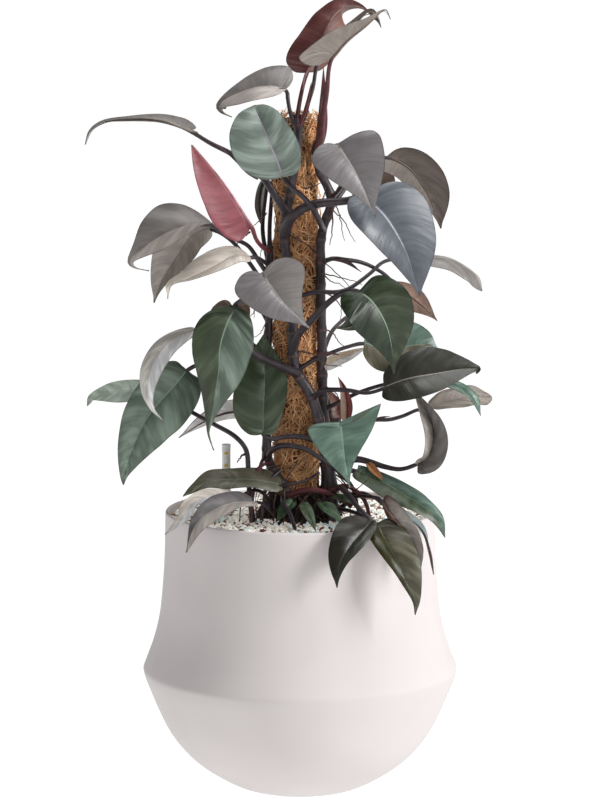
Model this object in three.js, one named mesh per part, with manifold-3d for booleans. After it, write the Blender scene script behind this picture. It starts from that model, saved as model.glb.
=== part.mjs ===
// Potted philodendron on a coir pole, in a white pot with a soft ridge.
// Millimetres, +Z up. The origin is the centre of the flat foot that the pot stands on,
// +X is the plant's right side as it is seen from the front, and the front faces -Y.

import * as THREE from 'three';
import { mergeVertices } from 'three/addons/utils/BufferGeometryUtils.js';
import Module from 'manifold-3d';

const wasm = await Module();
wasm.setup();

// Driving dimensions

const GAP = 0.3;

const POT = {
  wall: 5,
  lip: 1.2,
  footRadius: 60,
  ridgeRadius: 200,
  ridgeHeight: 156,
  rimRadius: 171,
  rimHeight: 359,
  floorHeight: 9,
  insideRise: 2,
  sides: 44,
};

const FILLING = { topHeight: 347, clearance: 0.4 };

const ROOT_BALL = {
  radius: 58,
  bottomHeight: 190,
  shoulderHeight: 343,
  crownHeight: 386,
  sides: 24,
};

const POLE = {
  x: -5,
  y: 0,
  radius: 27,
  stakeRadius: 11,
  footHeight: 150,
  topHeight: 862,
  stakeTop: 846,
  sides: 20,
  stakeSides: 12,
};

const GAUGE = {
  x: -94,
  y: 22,
  radius: 5.6,
  footHeight: 120,
  topHeight: 440,
  capHeight: 7,
  capRadius: 6.4,
  capBevel: 1.5,
  sides: 12,
};

const STEM = { sides: 8, stepsPerPoint: 1.6 };
const STALK = { sides: 5, extraSteps: 2, joinsRibAt: 0.03 };
const BLADE = { thickness: 1.3, rows: 8, columns: 4, veinBend: 1.6, arch: 2 };

// From where a half is widest to its tip: the share of that way, how far out the margin is, and how far
// behind it the vein that ends there leaves the rib.

const TAPER = [[0.28, 0.85, 0.145], [0.53, 0.58, 0.13], [0.75, 0.29, 0.09], [0.89, 0.11, 0.05]];

// Climbing stems, each a route of centre points from the root ball up, with its end radii

const STEMS = {
  stem_front: {
    route: [
      [40, -36, 352], [41, -39, 385], [37, -39, 418], [30, -37, 450], [22, -34, 486], [13, -33.5, 512],
      [-3, -33.5, 538], [-9, -33.5, 565], [-9, -33.5, 604], [-13, -33.5, 660], [-20, -34, 712],
      [-17, -33.5, 734], [-12, -34, 766], [-6, -34, 805], [-2, -34, 838], [-4, -33.5, 862],
    ],
    radii: [7.2, 5.4],
    color: 0x2e272b,
  },
  stem_right: {
    route: [
      [32, -2, 352], [33, -4, 400], [31, -8, 460], [29, -10, 500], [28, -12, 540], [27, -15, 600],
      [26, -20, 645], [26, -23, 680], [26, -25, 704], [30, -25, 724], [36, -24, 740], [39, -22, 757],
      [33, -23, 774], [25, -26, 790], [20, -27, 816], [22, -30, 828],
    ],
    radii: [6.6, 5.4],
    color: 0x2e272b,
  },
  stem_left: {
    route: [
      [-14, -34, 362], [-18, -36, 388], [-25, -34, 402], [-35, -28, 416], [-41, -22, 432], [-42, -18, 462],
      [-42, -14, 500], [-41, -12, 545], [-40, -12, 585], [-38, -15, 620], [-38, -18, 655], [-38, -20, 680],
      [-38, -19, 697],
    ],
    radii: [6.4, 4.6],
    color: 0x332a2e,
  },
};

// Leaves. radii: of the stalk's two ends. stalk: from its carrier to the notch. rib: from the notch to the
// tip. left and right: the blade's halves, each as [width, rise, lobe, widest, full, sweep], where the rise
// is in degrees and lobe, widest and sweep are shares of the blade's length: how far the half reaches
// behind the notch, where it is widest, and how far its margin is drawn towards the tip. Full is above 1
// for a broad tip and below 1 for a slender one. face: where the upper side looks, faceTip the same at the
// tip. arch: how far the halves hump up between rib and margin.

const LEAVES = {
  leaf_crown_1: {
    from: 'stem_front', color: 0x4d2727, radii: [3, 2.2],
    stalk: [[-5, -34, 850], [-3, -37, 862], [0, -36, 880], [4, -30, 898]],
    rib: [[10, -8, 913], [24, 4, 945], [39, 20, 977], [56, 34, 994], [78, 44, 993], [91, 48, 981]],
    left: [40, 14, 0.02, 0.14, 0.68, 0], right: [28, 30, 0, 0.4, 0.9, 0.15],
    face: [0.35, 0.9, -0.1], faceTip: [0.2, 0.75, 0.6],
  },
  leaf_crown_2: {
    from: 'stem_right', color: 0x8d8880, radii: [5.2, 2.1],
    stalk: [[21, -29, 822], [25, -36, 832], [27, -41, 853], [30, -47, 872], [33, -52, 891]],
    rib: [[36, -58, 929], [55, -62, 952], [80, -66, 972], [105, -68, 991], [111, -70, 980]],
    left: [37, 62, 0.1, 0, 0.62, -0.14], right: [30, 60, 0.08, 0.02, 0.62, -0.1],
    face: [-0.6, -0.1, 0.8], arch: 4,
  },
  leaf_crown_3: {
    from: 'stem_front', color: 0x6f665f, radii: [3, 2.2],
    stalk: [[-3, -34, 845], [5, -37, 858], [10, -36, 876], [16, -32, 895]],
    rib: [[21, -27, 928], [42, -25, 949], [64, -20, 969], [87, -14, 988], [97, -12, 979],
      [101, -12, 968]],
    left: [13, 20, 0.1, 0.3, 1, 0], right: [14, 30, 0.1, 0.5, 1.1, 0],
    face: [-0.6, 0.4, 0.65],
  },
  leaf_upper_left_1: {
    from: 'stem_front', color: 0x7b7674, radii: [2.8, 2.2],
    stalk: [[-7, -33, 850], [-12, -38, 864], [-15, -38, 880]],
    rib: [[-17, -36, 893], [-47, -28, 896], [-72, -18, 889], [-99, -8, 874], [-99, -5, 864],
      [-85, -4, 857]],
    left: [38, 14, 0.03, 0.12, 0.7, 0], right: [26, -6, 0, 0.3, 0.9, 0.12],
    face: [0, -0.5, 0.87],
  },
  leaf_upper_left_2: {
    from: 'stem_right', color: 0x6f8a7a, radii: [4.2, 2.8],
    stalk: [[29, -25, 718], [23, -60, 734], [14, -78, 751], [3, -86, 764], [-11, -88, 776]],
    rib: [[-21, -87, 788], [-28, -95, 809], [-37, -99, 830], [-46, -93, 852], [-54, -72, 869],
      [-56, -52, 874]],
    left: [33, 8, 0, 0.36, 1.2, 0], right: [47, 8, 0, 0.36, 1.4, 0.1],
    face: [-0.1, -0.95, 0.2], arch: 3,
  },
  leaf_upper_left_3: {
    from: 'stem_front', color: 0x8a8078, radii: [5.2, 2.3],
    stalk: [[-18, -35, 742], [-32, -46, 764], [-44, -44, 782], [-62, -32, 797], [-86, -27, 813],
      [-112, -25, 826]],
    rib: [[-136, -25, 843], [-168, -30, 854], [-211, -38, 856], [-243, -44, 853], [-259, -47, 842],
      [-266, -48, 825]],
    left: [35, 0, 0.05, 0.12, 1.5, 0], right: [36, 12, 0.05, 0.3, 1.1, 0],
    face: [0, -0.25, 1], faceTip: [0, -0.03, 1], arch: 1,
  },
  leaf_young_red: {
    from: 'stem_left', color: 0xb8727e, radii: [3, 2.4],
    stalk: [[-38, -18, 690], [-46, -52, 698], [-54, -82, 711]],
    rib: [[-61, -98, 725], [-78, -106, 755], [-95, -110, 782], [-115, -110, 808], [-132, -108, 829]],
    left: [40, 66, 0.03, 0.3, 1.4, 0], right: [36, 70, 0.03, 0.3, 1.4, 0],
    face: [-0.82, -0.1, -0.57], arch: 6,
  },
  leaf_upper_right_1: {
    from: 'stem_right', color: 0x8b8683, radii: [3, 2.2],
    stalk: [[39, -22, 757], [52, -60, 775], [57, -86, 796], [52, -98, 816]],
    rib: [[45, -102, 829], [55, -108, 815], [67, -112, 796], [78, -113, 774], [92, -110, 741]],
    left: [41, 10, 0.08, 0.1, 0.72, 0], right: [49, 6, 0, 0.18, 0.85, 0.02],
    face: [0.1, -0.93, 0.3], arch: 3,
  },
  leaf_upper_right_2: {
    from: 'stem_right', color: 0x5d574c, radii: [3, 2.2],
    stalk: [[35, -24, 738], [62, 4, 774], [90, 22, 800]],
    rib: [[110, 30, 806], [126, 33, 800], [139, 36, 791], [149, 39, 779], [158, 42, 765],
      [167, 46, 747], [179, 48, 713]],
    left: [33, 25, 0, 0.26, 1.1, 0.2], right: [34, 3, 0.04, 0.2, 0.85, 0],
    face: [0.45, 0.7, 0.5],
  },
  leaf_upper_right_3: {
    from: 'stem_front', color: 0x73767a, radii: [6.8, 4.4],
    stalk: [[-19, -34, 716], [-12, -50, 733], [0, -60, 745], [15, -64, 752], [32, -66, 755],
      [56, -68, 757]],
    rib: [[80, -70, 762], [105, -73, 738], [129, -71, 698], [141, -68, 664], [148, -64, 639]],
    left: [44, 12, 0.08, 0.2, 1, 0], right: [57, 6, 0, 0.26, 1.1, 0.08],
    face: [0.25, -0.85, 0.45], arch: 4,
  },
  leaf_left_1: {
    from: 'stem_left', color: 0x7c7d7c, radii: [3, 2.4],
    stalk: [[-37, -18, 655], [-50, -26, 676], [-64, -36, 698], [-80, -50, 708], [-94, -58, 716]],
    rib: [[-108, -64, 728], [-138, -72, 727], [-169, -80, 716], [-193, -84, 700], [-209, -86, 683],
      [-203, -84, 676], [-186, -82, 672]],
    left: [42, 10, 0, 0.22, 0.5, 0.1], right: [34, 25, 0, 0.3, 0.5, 0.05],
    face: [0.1, -0.2, 1], faceTip: [-0.2, -1, -0.2],
  },
  leaf_left_2: {
    from: 'stem_left', color: 0x857b73, radii: [3, 2.4],
    stalk: [[-38, -14, 635], [-62, 14, 670], [-90, 28, 702]],
    rib: [[-116, 32, 715], [-138, 28, 704], [-152, 26, 684], [-165, 24, 665], [-177, 22, 644],
      [-185, 20, 621]],
    left: [33, 20, 0, 0.4, 1, 0], right: [32, 20, 0, 0.3, 0.9, 0],
    face: [-0.4, -0.8, 0.45],
  },
  leaf_left_3: {
    from: 'stem_left', color: 0xb9ada0, radii: [2.8, 2.2],
    stalk: [[-37, -19, 671], [-46, -40, 680], [-55, -53, 686]],
    rib: [[-63, -60, 688], [-80, -66, 689], [-107, -76, 676], [-136, -86, 663], [-159, -90, 655],
      [-163, -92, 638]],
    left: [28, 12, 0, 0.3, 0.9, 0.15], right: [20, 0, 0, 0.15, 0.6, 0],
    face: [0.1, -0.3, 0.95],
  },
  leaf_middle_1: {
    from: 'stem_front', color: 0x7d7876, radii: [3, 2.2],
    stalk: [[-9, -34, 603], [-26, -64, 628], [-41, -94, 655]],
    rib: [[-46, -118, 672], [-34, -122, 655], [-21, -124, 638], [-5, -123, 622], [12, -120, 605]],
    left: [42, 8, 0.14, 0.07, 0.88, 0], right: [47, 6, 0.05, 0.24, 0.6, 0],
    face: [0, -0.95, 0.28], arch: 3,
  },
  leaf_right_1: {
    from: 'stem_front', color: 0x9ca09a, radii: [3.2, 2.2],
    stalk: [[-11, -34, 632], [12, -45, 640], [25, -45, 642], [44, -40, 641], [60, -32, 644],
      [88, -14, 662], [104, -4, 675]],
    rib: [[122, 2, 681], [165, 6, 680], [190, 8, 677], [208, 10, 668], [223, 11, 655], [230, 12, 637]],
    left: [22, 0, 0, 0.4, 1.3, 0.25], right: [24, -30, 0, 0.4, 1.2, 0],
    face: [0, -0.5, 0.87], arch: 1,
  },
  leaf_right_2: {
    from: 'stem_right', color: 0x8d7163, radii: [3, 2.2],
    stalk: [[26, -23, 676], [40, -20, 681], [57, -12, 679], [76, -2, 675], [94, 3, 667], [110, 4, 656]],
    rib: [[122, 2, 643], [141, 0, 631], [159, -2, 616], [173, -4, 601]],
    left: [14, 12, 0.05, 0.4, 0.9, 0], right: [24, 6, 0.05, 0.35, 0.9, 0],
    face: [0.3, 0.8, 0.5],
  },
  leaf_right_3: {
    from: 'stem_front', color: 0x48634c, radii: [5.2, 3.2],
    stalk: [[-9, -34, 567], [-2, -50, 589], [12, -64, 606], [25, -78, 622], [38, -92, 636],
      [53, -104, 647]],
    rib: [[72, -114, 650], [86, -119, 640], [98, -120, 624], [107, -118, 605], [112, -113, 584],
      [116, -106, 547]],
    left: [41, 12, 0.1, 0.28, 0.85, 0], right: [42, 8, 0, 0.26, 0.8, 0.05],
    face: [0.1, -0.93, 0.33],
  },
  leaf_right_4: {
    from: 'stem_front', color: 0x28361f, radii: [3, 2.2],
    stalk: [[-4, -34, 542], [19, -43, 557], [38, -44, 565], [58, -41, 572]],
    rib: [[80, -36, 577], [106, -33, 570], [135, -28, 572], [158, -24, 574], [175, -20, 566]],
    left: [33, -4, 0, 0.3, 0.8, 0.05], right: [36, 8, 0, 0.6, 0.8, 0],
    face: [0, -0.8, 0.6],
  },
  leaf_right_5: {
    from: 'stem_front', color: 0x62665c, radii: [3.6, 2],
    stalk: [[16, -34, 505], [26, -50, 518], [44, -60, 521], [62, -68, 521], [84, -76, 519]],
    rib: [[104, -82, 527], [124, -85, 535], [142, -86, 540], [167, -84, 544], [192, -80, 548],
      [212, -77, 550], [221, -76, 549], [219, -76, 543]],
    left: [33, 2, 0.03, 0.3, 1.2, 0], right: [37, 14, 0, 0.42, 1, 0.08],
    face: [0, -0.68, 0.74],
  },
  leaf_right_6: {
    from: 'stem_right', color: 0xa0978c, radii: [3.2, 2.2],
    stalk: [[31, -8, 459], [60, -4, 469], [94, 2, 474], [114, 6, 474], [131, 10, 478], [149, 14, 485]],
    rib: [[163, 18, 488], [178, 20, 492], [197, 23, 498], [216, 26, 501], [244, 30, 500]],
    left: [21, -8, 0, 0.35, 1.6, 0.3], right: [23, 10, 0, 0.4, 1.6, 0.1],
    face: [0.1, -0.35, 0.93],
  },
  leaf_right_7: {
    from: 'stem_right', color: 0x4f6b5c, radii: [2.8, 2],
    stalk: [[29, -10, 488], [80, -18, 514], [130, -22, 527]],
    rib: [[163, -22, 528], [189, -24, 523], [206, -26, 516], [219, -28, 505], [227, -30, 484]],
    left: [11, 4, 0, 0.45, 1.2, 0], right: [11, 8, 0, 0.45, 1.2, 0],
    face: [0.5, -0.5, 0.7], arch: 1,
  },
  leaf_right_8: {
    from: 'stem_front', color: 0x33362d, radii: [5.4, 2.2],
    stalk: [[37, -39, 418], [56, -46, 428], [71, -52, 432], [87, -60, 430], [106, -68, 425],
      [126, -74, 423]],
    rib: [[147, -78, 430], [158, -81, 438], [165, -84, 457], [165, -84, 475], [158, -81, 495],
      [140, -76, 525]],
    left: [29, 58, 0.03, 0.42, 1.1, 0], right: [20, 54, 0, 0.45, 1, 0],
    face: [0.3, -0.9, 0.1], faceTip: [-0.35, -0.9, 0.1], arch: 4,
  },
  leaf_middle_2: {
    from: 'stem_front', color: 0x587360, radii: [3.2, 2.4],
    stalk: [[28, -37, 458], [38, -70, 478], [45, -100, 489]],
    rib: [[49, -120, 489], [52, -134, 469], [55, -149, 446], [59, -160, 427], [61, -164, 414]],
    left: [41, 6, 0, 0.1, 0.85, 0], right: [53, 6, 0, 0.03, 0.6, -0.2],
    face: [0, -0.8, 0.55],
  },
  leaf_young_sheath: {
    from: 'stem_right', color: 0x7a2a2a, radii: [2.6, 2],
    stalk: [[30, -9, 466], [46, -28, 470]],
    rib: [[58, -37, 479], [59, -39, 498], [55, -39, 518], [48, -37, 534]],
    left: [9, 26, 0.03, 0.36, 1.2, 0], right: [8, 32, 0.03, 0.36, 1.2, 0],
    face: [-0.3, -0.9, 0.1], arch: 1.5,
  },
  leaf_left_4: {
    from: 'stem_front', color: 0x2c371e, radii: [6, 3.6],
    stalk: [[-3, -34, 538], [-24, -56, 550], [-43, -76, 561], [-60, -92, 573], [-74, -108, 601]],
    rib: [[-78, -122, 633], [-86, -126, 618], [-94, -130, 598], [-98, -134, 580], [-99, -138, 556],
      [-103, -139, 531], [-109, -136, 500], [-112, -132, 475], [-106, -128, 455]],
    left: [36, 10, 0, 0.12, 0.62, 0.12], right: [42, 14, 0, 0.26, 0.46, 0.04],
    face: [-0.05, -0.97, 0.2],
  },
  leaf_left_5: {
    from: 'stem_left', color: 0xa59f96, radii: [3, 2.2],
    stalk: [[-41, -12, 556], [-75, -48, 588], [-104, -78, 602]],
    rib: [[-128, -96, 601], [-148, -98, 593], [-167, -101, 580], [-181, -104, 559], [-187, -106, 537],
      [-187, -105, 519], [-181, -103, 502], [-169, -101, 488]],
    left: [19, 4, 0, 0.42, 1.4, 0.1], right: [26, 4, 0, 0.45, 1.5, 0],
    face: [0.1, -0.4, 0.95], faceTip: [-0.95, -0.3, -0.1], arch: 1.5,
  },
  leaf_left_6: {
    from: 'stem_left', color: 0x5f7d70, radii: [3, 2.4],
    stalk: [[-41, -12, 530], [-80, 2, 548], [-115, 8, 548]],
    rib: [[-143, 8, 537], [-158, 6, 518], [-177, 4, 497], [-193, 2, 477], [-205, 0, 454],
      [-215, -3, 430], [-223, -5, 402], [-224, -5, 392]],
    left: [36, 10, 0, 0.27, 1.3, 0], right: [45, 8, 0, 0.36, 1, 0],
    face: [-0.15, -0.92, 0.35], arch: 4,
  },
  leaf_left_7: {
    from: 'filling', color: 0x6b8674, radii: [3.6, 2.4],
    stalk: [[-56, -34, 335], [-63, -34, 377], [-65, -33, 415], [-68, -32, 441], [-81, -30, 457],
      [-109, -20, 472], [-134, -3, 483], [-160, 18, 495]],
    rib: [[-185, 44, 509], [-224, 48, 505], [-251, 52, 502], [-267, 56, 496], [-273, 58, 484]],
    left: [23, 2, 0.05, 0.4, 1.3, 0], right: [24, -2, 0.05, 0.4, 1.3, 0],
    face: [0, -0.42, 0.9], arch: 1,
  },
  leaf_left_8: {
    from: 'stem_left', color: 0x8d7067, radii: [3, 2.2],
    stalk: [[-42, -16, 470], [-47, 4, 480]],
    rib: [[-56, 19, 489], [-76, 17, 485], [-98, 15, 481], [-120, 13, 472], [-137, 11, 462],
      [-154, 9, 450]],
    left: [20, 0, 0, 0.35, 0.9, 0], right: [26, 4, 0, 0.35, 0.9, 0],
    face: [-0.2, 0.6, 0.75], arch: 1,
  },
  leaf_middle_3: {
    from: 'stem_front', color: 0x40604b, radii: [3.8, 2.8],
    stalk: [[30, -37, 449], [16, -46, 456], [0, -48, 460], [-19, -48, 460], [-34, -52, 458]],
    rib: [[-46, -56, 465], [-46, -52, 493], [-44, -46, 519], [-44, -34, 555], [-45, -28, 587]],
    left: [28, 12, 0.04, 0.45, 1, 0.08], right: [40, 8, 0.04, 0.28, 1.25, 0.08],
    face: [0.1, -0.95, 0.1],
  },
  leaf_behind_pole_strip: {
    from: 'stem_right', color: 0xb8a99a, radii: [2.8, 2.2],
    stalk: [[28, -12, 525], [29, -16, 538]],
    rib: [[31, -18, 544], [45, -18, 552], [63, -18, 559], [84, -17, 569]],
    left: [11, -6, 0, 0.4, 1, 0], right: [13, 4, 0, 0.4, 1, 0],
    face: [0, -0.5, 0.87], arch: 1,
  },
  leaf_low_1: {
    from: 'stem_left', color: 0x3c5142, radii: [3.4, 2.6],
    stalk: [[-19, -36, 391], [-20, -44, 397]],
    rib: [[-23, -51, 399], [-48, -55, 405], [-75, -60, 408], [-107, -66, 407], [-128, -71, 400],
      [-146, -77, 389]],
    left: [24, 6, 0, 0.55, 1.1, 0], right: [21, 0, 0, 0.5, 1.1, 0],
    face: [0, -0.4, 0.9],
  },
  leaf_low_2: {
    from: 'root_ball', color: 0xb8ab9d, radii: [2.6, 2],
    stalk: [[-30, -26, 352], [-46, -48, 388], [-60, -67, 395]],
    rib: [[-78, -88, 391], [-102, -98, 394], [-120, -106, 392], [-136, -112, 384], [-145, -117, 369],
      [-167, -120, 348]],
    left: [13, 10, 0, 0.4, 1.2, 0], right: [13, 0, 0, 0.4, 1.2, 0],
    face: [0, -0.3, 0.95], faceTip: [0.3, -0.3, 0.9], arch: 1,
  },
  leaf_low_3: {
    from: 'root_ball', color: 0x5a6a5c, radii: [2.4, 1.9],
    stalk: [[-26, -24, 345], [-36, -46, 364], [-47, -76, 380]],
    rib: [[-59, -116, 389], [-80, -132, 390], [-96, -144, 387], [-113, -152, 380], [-126, -158, 370],
      [-134, -162, 354], [-139, -165, 334]],
    left: [24, 4, 0.03, 0.25, 0.7, 0], right: [24, 18, 0, 0.5, 1.2, 0],
    face: [-0.2, -0.6, 0.75],
  },
  leaf_low_4: {
    from: 'stem_front', color: 0x41423c, radii: [4.6, 2.6],
    stalk: [[41, -39, 388], [50, -75, 400], [60, -103, 395], [70, -129, 386]],
    rib: [[87, -154, 371], [74, -172, 359], [61, -186, 346], [51, -195, 332], [46, -200, 316],
      [45, -204, 298]],
    left: [30, 10, 0, 0.3, 1, 0], right: [16, 14, 0, 0.35, 1, 0],
    face: [-0.3, -0.8, 0.5], faceTip: [-0.1, -0.97, 0.1],
  },
  leaf_low_5: {
    from: 'stem_front', color: 0x57603a, radii: [3, 2.2],
    stalk: [[41, -37, 366], [58, -68, 370], [78, -106, 369]],
    rib: [[94, -139, 366], [103, -162, 352], [113, -176, 336], [123, -185, 319], [132, -189, 298],
      [139, -191, 278], [140, -192, 262]],
    left: [19, 10, 0, 0.12, 0.9, 0], right: [29, 8, 0, 0.4, 1.1, 0],
    face: [0.1, -0.8, 0.55], faceTip: [0.2, -0.97, 0.1],
  },
  leaf_low_6: {
    from: 'root_ball', color: 0xa07a72, radii: [2.8, 2.2],
    stalk: [[38, -14, 345], [66, -62, 384], [86, -108, 394]],
    rib: [[102, -132, 394], [115, -143, 376], [131, -152, 357], [143, -156, 337], [148, -158, 309]],
    left: [22, 8, 0, 0.35, 1, 0], right: [22, 8, 0, 0.35, 1, 0],
    face: [0.45, 0.55, 0.6], faceTip: [0.7, 0.6, 0.1],
  },
  leaf_low_7: {
    from: 'root_ball', color: 0x7f8a8c, radii: [2.6, 2],
    stalk: [[40, -4, 345], [68, -50, 388], [92, -98, 391]],
    rib: [[104, -114, 387], [121, -119, 379], [138, -123, 369], [152, -126, 354], [159, -129, 331],
      [165, -131, 300]],
    left: [11, 4, 0, 0.4, 1.1, 0], right: [11, 10, 0, 0.5, 1.1, 0],
    face: [0.3, -0.4, 0.87], faceTip: [0.75, 0.5, 0.3], arch: 1,
  },
  leaf_low_8: {
    from: 'stem_left', color: 0x45604f, radii: [3.8, 2.8],
    stalk: [[-40, -24, 428], [-36, -42, 441], [-24, -51, 449], [-8, -54, 449], [8, -56, 445],
      [22, -59, 437], [38, -60, 426], [54, -61, 421]],
    rib: [[71, -62, 420], [93, -71, 412], [112, -80, 403], [130, -88, 393], [149, -94, 382],
      [167, -98, 367], [180, -100, 341]],
    left: [24, 2, 0, 0.35, 1, 0], right: [15, 10, 0, 0.6, 1.5, 0],
    face: [0.1, -0.5, 0.85], faceTip: [0.55, -0.75, 0.3],
  },
  leaf_base_1: {
    from: 'root_ball', color: 0x3f5c40, radii: [2.2, 1.7],
    stalk: [[-10, -38, 360], [-9, -50, 379]],
    rib: [[-9, -60, 379], [-19, -68, 372], [-29, -73, 356]],
    left: [9, 8, 0.05, 0.35, 1, 0], right: [9, 8, 0.05, 0.35, 1, 0],
    face: [-0.3, -0.8, 0.5], arch: 1,
  },
  leaf_base_2: {
    from: 'root_ball', color: 0x45573f, radii: [2.2, 1.7],
    stalk: [[2, -40, 355], [3, -66, 380]],
    rib: [[4, -92, 382], [10, -122, 375], [20, -145, 356]],
    left: [8, 8, 0.03, 0.4, 1, 0], right: [8, 8, 0.03, 0.4, 1, 0],
    face: [0, -0.5, 0.85], arch: 1,
  },
  leaf_base_3: {
    from: 'root_ball', color: 0x3e5236, radii: [2.2, 1.7],
    stalk: [[14, -36, 355], [22, -64, 382]],
    rib: [[26, -92, 383], [38, -118, 378], [55, -136, 362]],
    left: [9, 8, 0.03, 0.4, 1, 0], right: [9, 8, 0.03, 0.4, 1, 0],
    face: [0.1, -0.5, 0.85], arch: 1,
  },
  leaf_base_4: {
    from: 'root_ball', color: 0x34491f, radii: [2.2, 1.7],
    stalk: [[24, -32, 355], [34, -56, 382]],
    rib: [[41, -78, 389], [56, -92, 389], [72, -102, 381]],
    left: [8, 8, 0.03, 0.4, 1, 0], right: [8, 8, 0.03, 0.4, 1, 0],
    face: [0.1, -0.5, 0.85], arch: 1,
  },
  leaf_back_1: {
    from: 'stem_left', color: 0x2c3526, radii: [3, 2.2],
    stalk: [[-39, -18, 672], [-47, 2, 716]],
    rib: [[-43, 18, 780], [-49, 32, 766], [-51, 48, 740], [-45, 60, 705]],
    left: [30, 8, 0.1, 0.2, 1, 0], right: [12, 8, 0.05, 0.3, 1, 0],
    face: [-0.9, 0.25, 0.35],
  },
  leaf_back_2: {
    from: 'stem_right', color: 0x46583f, radii: [3, 2.2],
    stalk: [[26, -24, 690], [34, 4, 732], [58, 44, 776]],
    rib: [[80, 66, 786], [92, 84, 762], [101, 94, 728], [105, 98, 694]],
    left: [33, 8, 0.12, 0.2, 1, 0], right: [33, 8, 0.12, 0.2, 1, 0],
    face: [0.2, 0.85, 0.45],
  },
  leaf_back_3: {
    from: 'stem_left', color: 0x5b7058, radii: [3, 2.2],
    stalk: [[-39, -13, 600], [-58, 24, 622], [-74, 50, 622]],
    rib: [[-86, 64, 612], [-92, 78, 586], [-96, 86, 552], [-98, 86, 516]],
    left: [27, 8, 0.08, 0.2, 1, 0], right: [27, 8, 0.08, 0.2, 1, 0],
    face: [-0.2, 0.85, 0.45],
  },
  leaf_back_4: {
    from: 'stem_right', color: 0x4a5f45, radii: [3, 2.2],
    stalk: [[28, -13, 560], [44, 30, 588], [70, 52, 604]],
    rib: [[90, 66, 600], [78, 76, 592], [63, 80, 584], [46, 76, 582]],
    left: [14, 10, 0.08, 0.3, 1, 0], right: [22, 10, 0.08, 0.3, 1, 0],
    face: [0.1, 0.75, 0.65],
  },
  leaf_back_5: {
    from: 'stem_right', color: 0x3c4c34, radii: [2.8, 2],
    stalk: [[33, -4, 405], [38, 26, 440]],
    rib: [[42, 40, 468], [41, 48, 482], [37, 54, 496], [30, 58, 508]],
    left: [14, 8, 0.08, 0.3, 1.2, 0], right: [14, 8, 0.08, 0.3, 1.2, 0],
    face: [0.1, 0.9, 0.3],
  },
  leaf_back_6: {
    from: 'stem_left', color: 0x566a54, radii: [2.8, 2],
    stalk: [[-38, -19, 694], [-38, -9, 722], [-35, 7, 768], [-35, 34, 824]],
    rib: [[-46, 56, 852], [-50, 74, 842], [-54, 88, 816], [-56, 94, 794]],
    left: [23, 8, 0.08, 0.2, 1, 0], right: [23, 8, 0.08, 0.2, 1, 0],
    face: [-0.1, 0.8, 0.55],
  },
};

// Small helpers

function vector([x, y, z]) {
  return new THREE.Vector3(x, y, z);
}

function curveThrough(points) {
  return new THREE.CatmullRomCurve3(points.map(vector));
}

function lathe(profile, sides) {
  const points = profile.map(([radius, height]) => new THREE.Vector2(radius, height));
  return new THREE.LatheGeometry(points, sides).rotateX(Math.PI / 2);
}

function toSolid(geometry) {
  const bare = geometry.clone();
  bare.deleteAttribute('normal');
  bare.deleteAttribute('uv');
  const merged = mergeVertices(bare, 1e-4);
  const triangles = [];
  const index = merged.index.array;
  for (let i = 0; i < index.length; i += 3) {
    const [a, b, c] = [index[i], index[i + 1], index[i + 2]];
    if (a !== b && b !== c && c !== a) triangles.push(a, b, c);
  }
  return new wasm.Manifold(new wasm.Mesh({
    numProp: 3,
    vertProperties: Float32Array.from(merged.attributes.position.array),
    triVerts: Uint32Array.from(triangles),
  }));
}

function toMesh(name, solid, look) {
  const { vertProperties, triVerts } = solid.getMesh();
  const geometry = new THREE.BufferGeometry();
  geometry.setAttribute('position', new THREE.BufferAttribute(vertProperties, 3));
  geometry.setIndex(new THREE.BufferAttribute(triVerts, 1));
  geometry.computeVertexNormals();
  const mesh = new THREE.Mesh(geometry, new THREE.MeshStandardMaterial({ metalness: 0, ...look }));
  mesh.name = name;
  return mesh;
}

// A round rod bent along a curve, from one radius to another
function bentRod(points, [startRadius, endRadius], sides, segments, grow = 0) {
  const rod = new THREE.CylinderGeometry(1, 1, 1, sides, segments);
  const curve = curveThrough(points);
  const frames = curve.computeFrenetFrames(segments, false);
  const place = rod.attributes.position;
  for (let i = 0; i < place.count; i += 1) {
    const along = place.getY(i) + 0.5;
    const past = (along === 1) - (along === 0);
    const step = Math.round(along * segments);
    const radius = THREE.MathUtils.lerp(startRadius, endRadius, along) + grow;
    const spot = curve.getPointAt(along)
      .addScaledVector(frames.tangents[step], past * grow)
      .addScaledVector(frames.binormals[step], radius * place.getX(i))
      .addScaledVector(frames.normals[step], radius * place.getZ(i));
    place.setXYZ(i, spot.x, spot.y, spot.z);
  }
  return toSolid(rod);
}

// A half's margin from the notch to the tip. Each point is how far along the blade it is, how far out as
// a share of the half's width, and how far along the rib the vein that ends there leaves it.
function marginOf([, , lobe, widest, full, sweep]) {
  const { lerp } = THREE.MathUtils;
  const vein = widest > 0.24 ? widest - 0.12 : widest / 2;
  const taper = TAPER.map(([part, out, lag]) => {
    const along = lerp(widest, 1, part);
    return [along, out ** (1 / full), along - lag];
  });
  const points = [
    [-lobe * 0.2, 0.06, 0], [-lobe * 0.8, 0.22, 0.004], [-lobe, 0.5, 0.012],
    [lerp(-lobe, widest, 0.22), 0.78, 0.03], [lerp(-lobe, widest, 0.58), 0.96, 0.08], [widest, 1, vein],
    ...taper, [1, 0.03, 1],
  ];
  return curveThrough(points.map(([along, out, foot]) => [along + sweep * out, out, foot]));
}

// Splits the quads of a flat box's lower side along the same diagonals as those of its upper side, so that
// the two sides stay apart when the box is bent
function matchDiagonals(box) {
  const { start, count } = box.groups.at(-1);
  const { index } = box;
  for (let i = start; i < start + count; i += 6) {
    const [a, b, c, d] = [index.getX(i), index.getX(i + 1), index.getX(i + 4), index.getX(i + 2)];
    [a, b, c, a, c, d].forEach((corner, step) => index.setX(i + step, corner));
  }
  return box;
}

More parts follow.
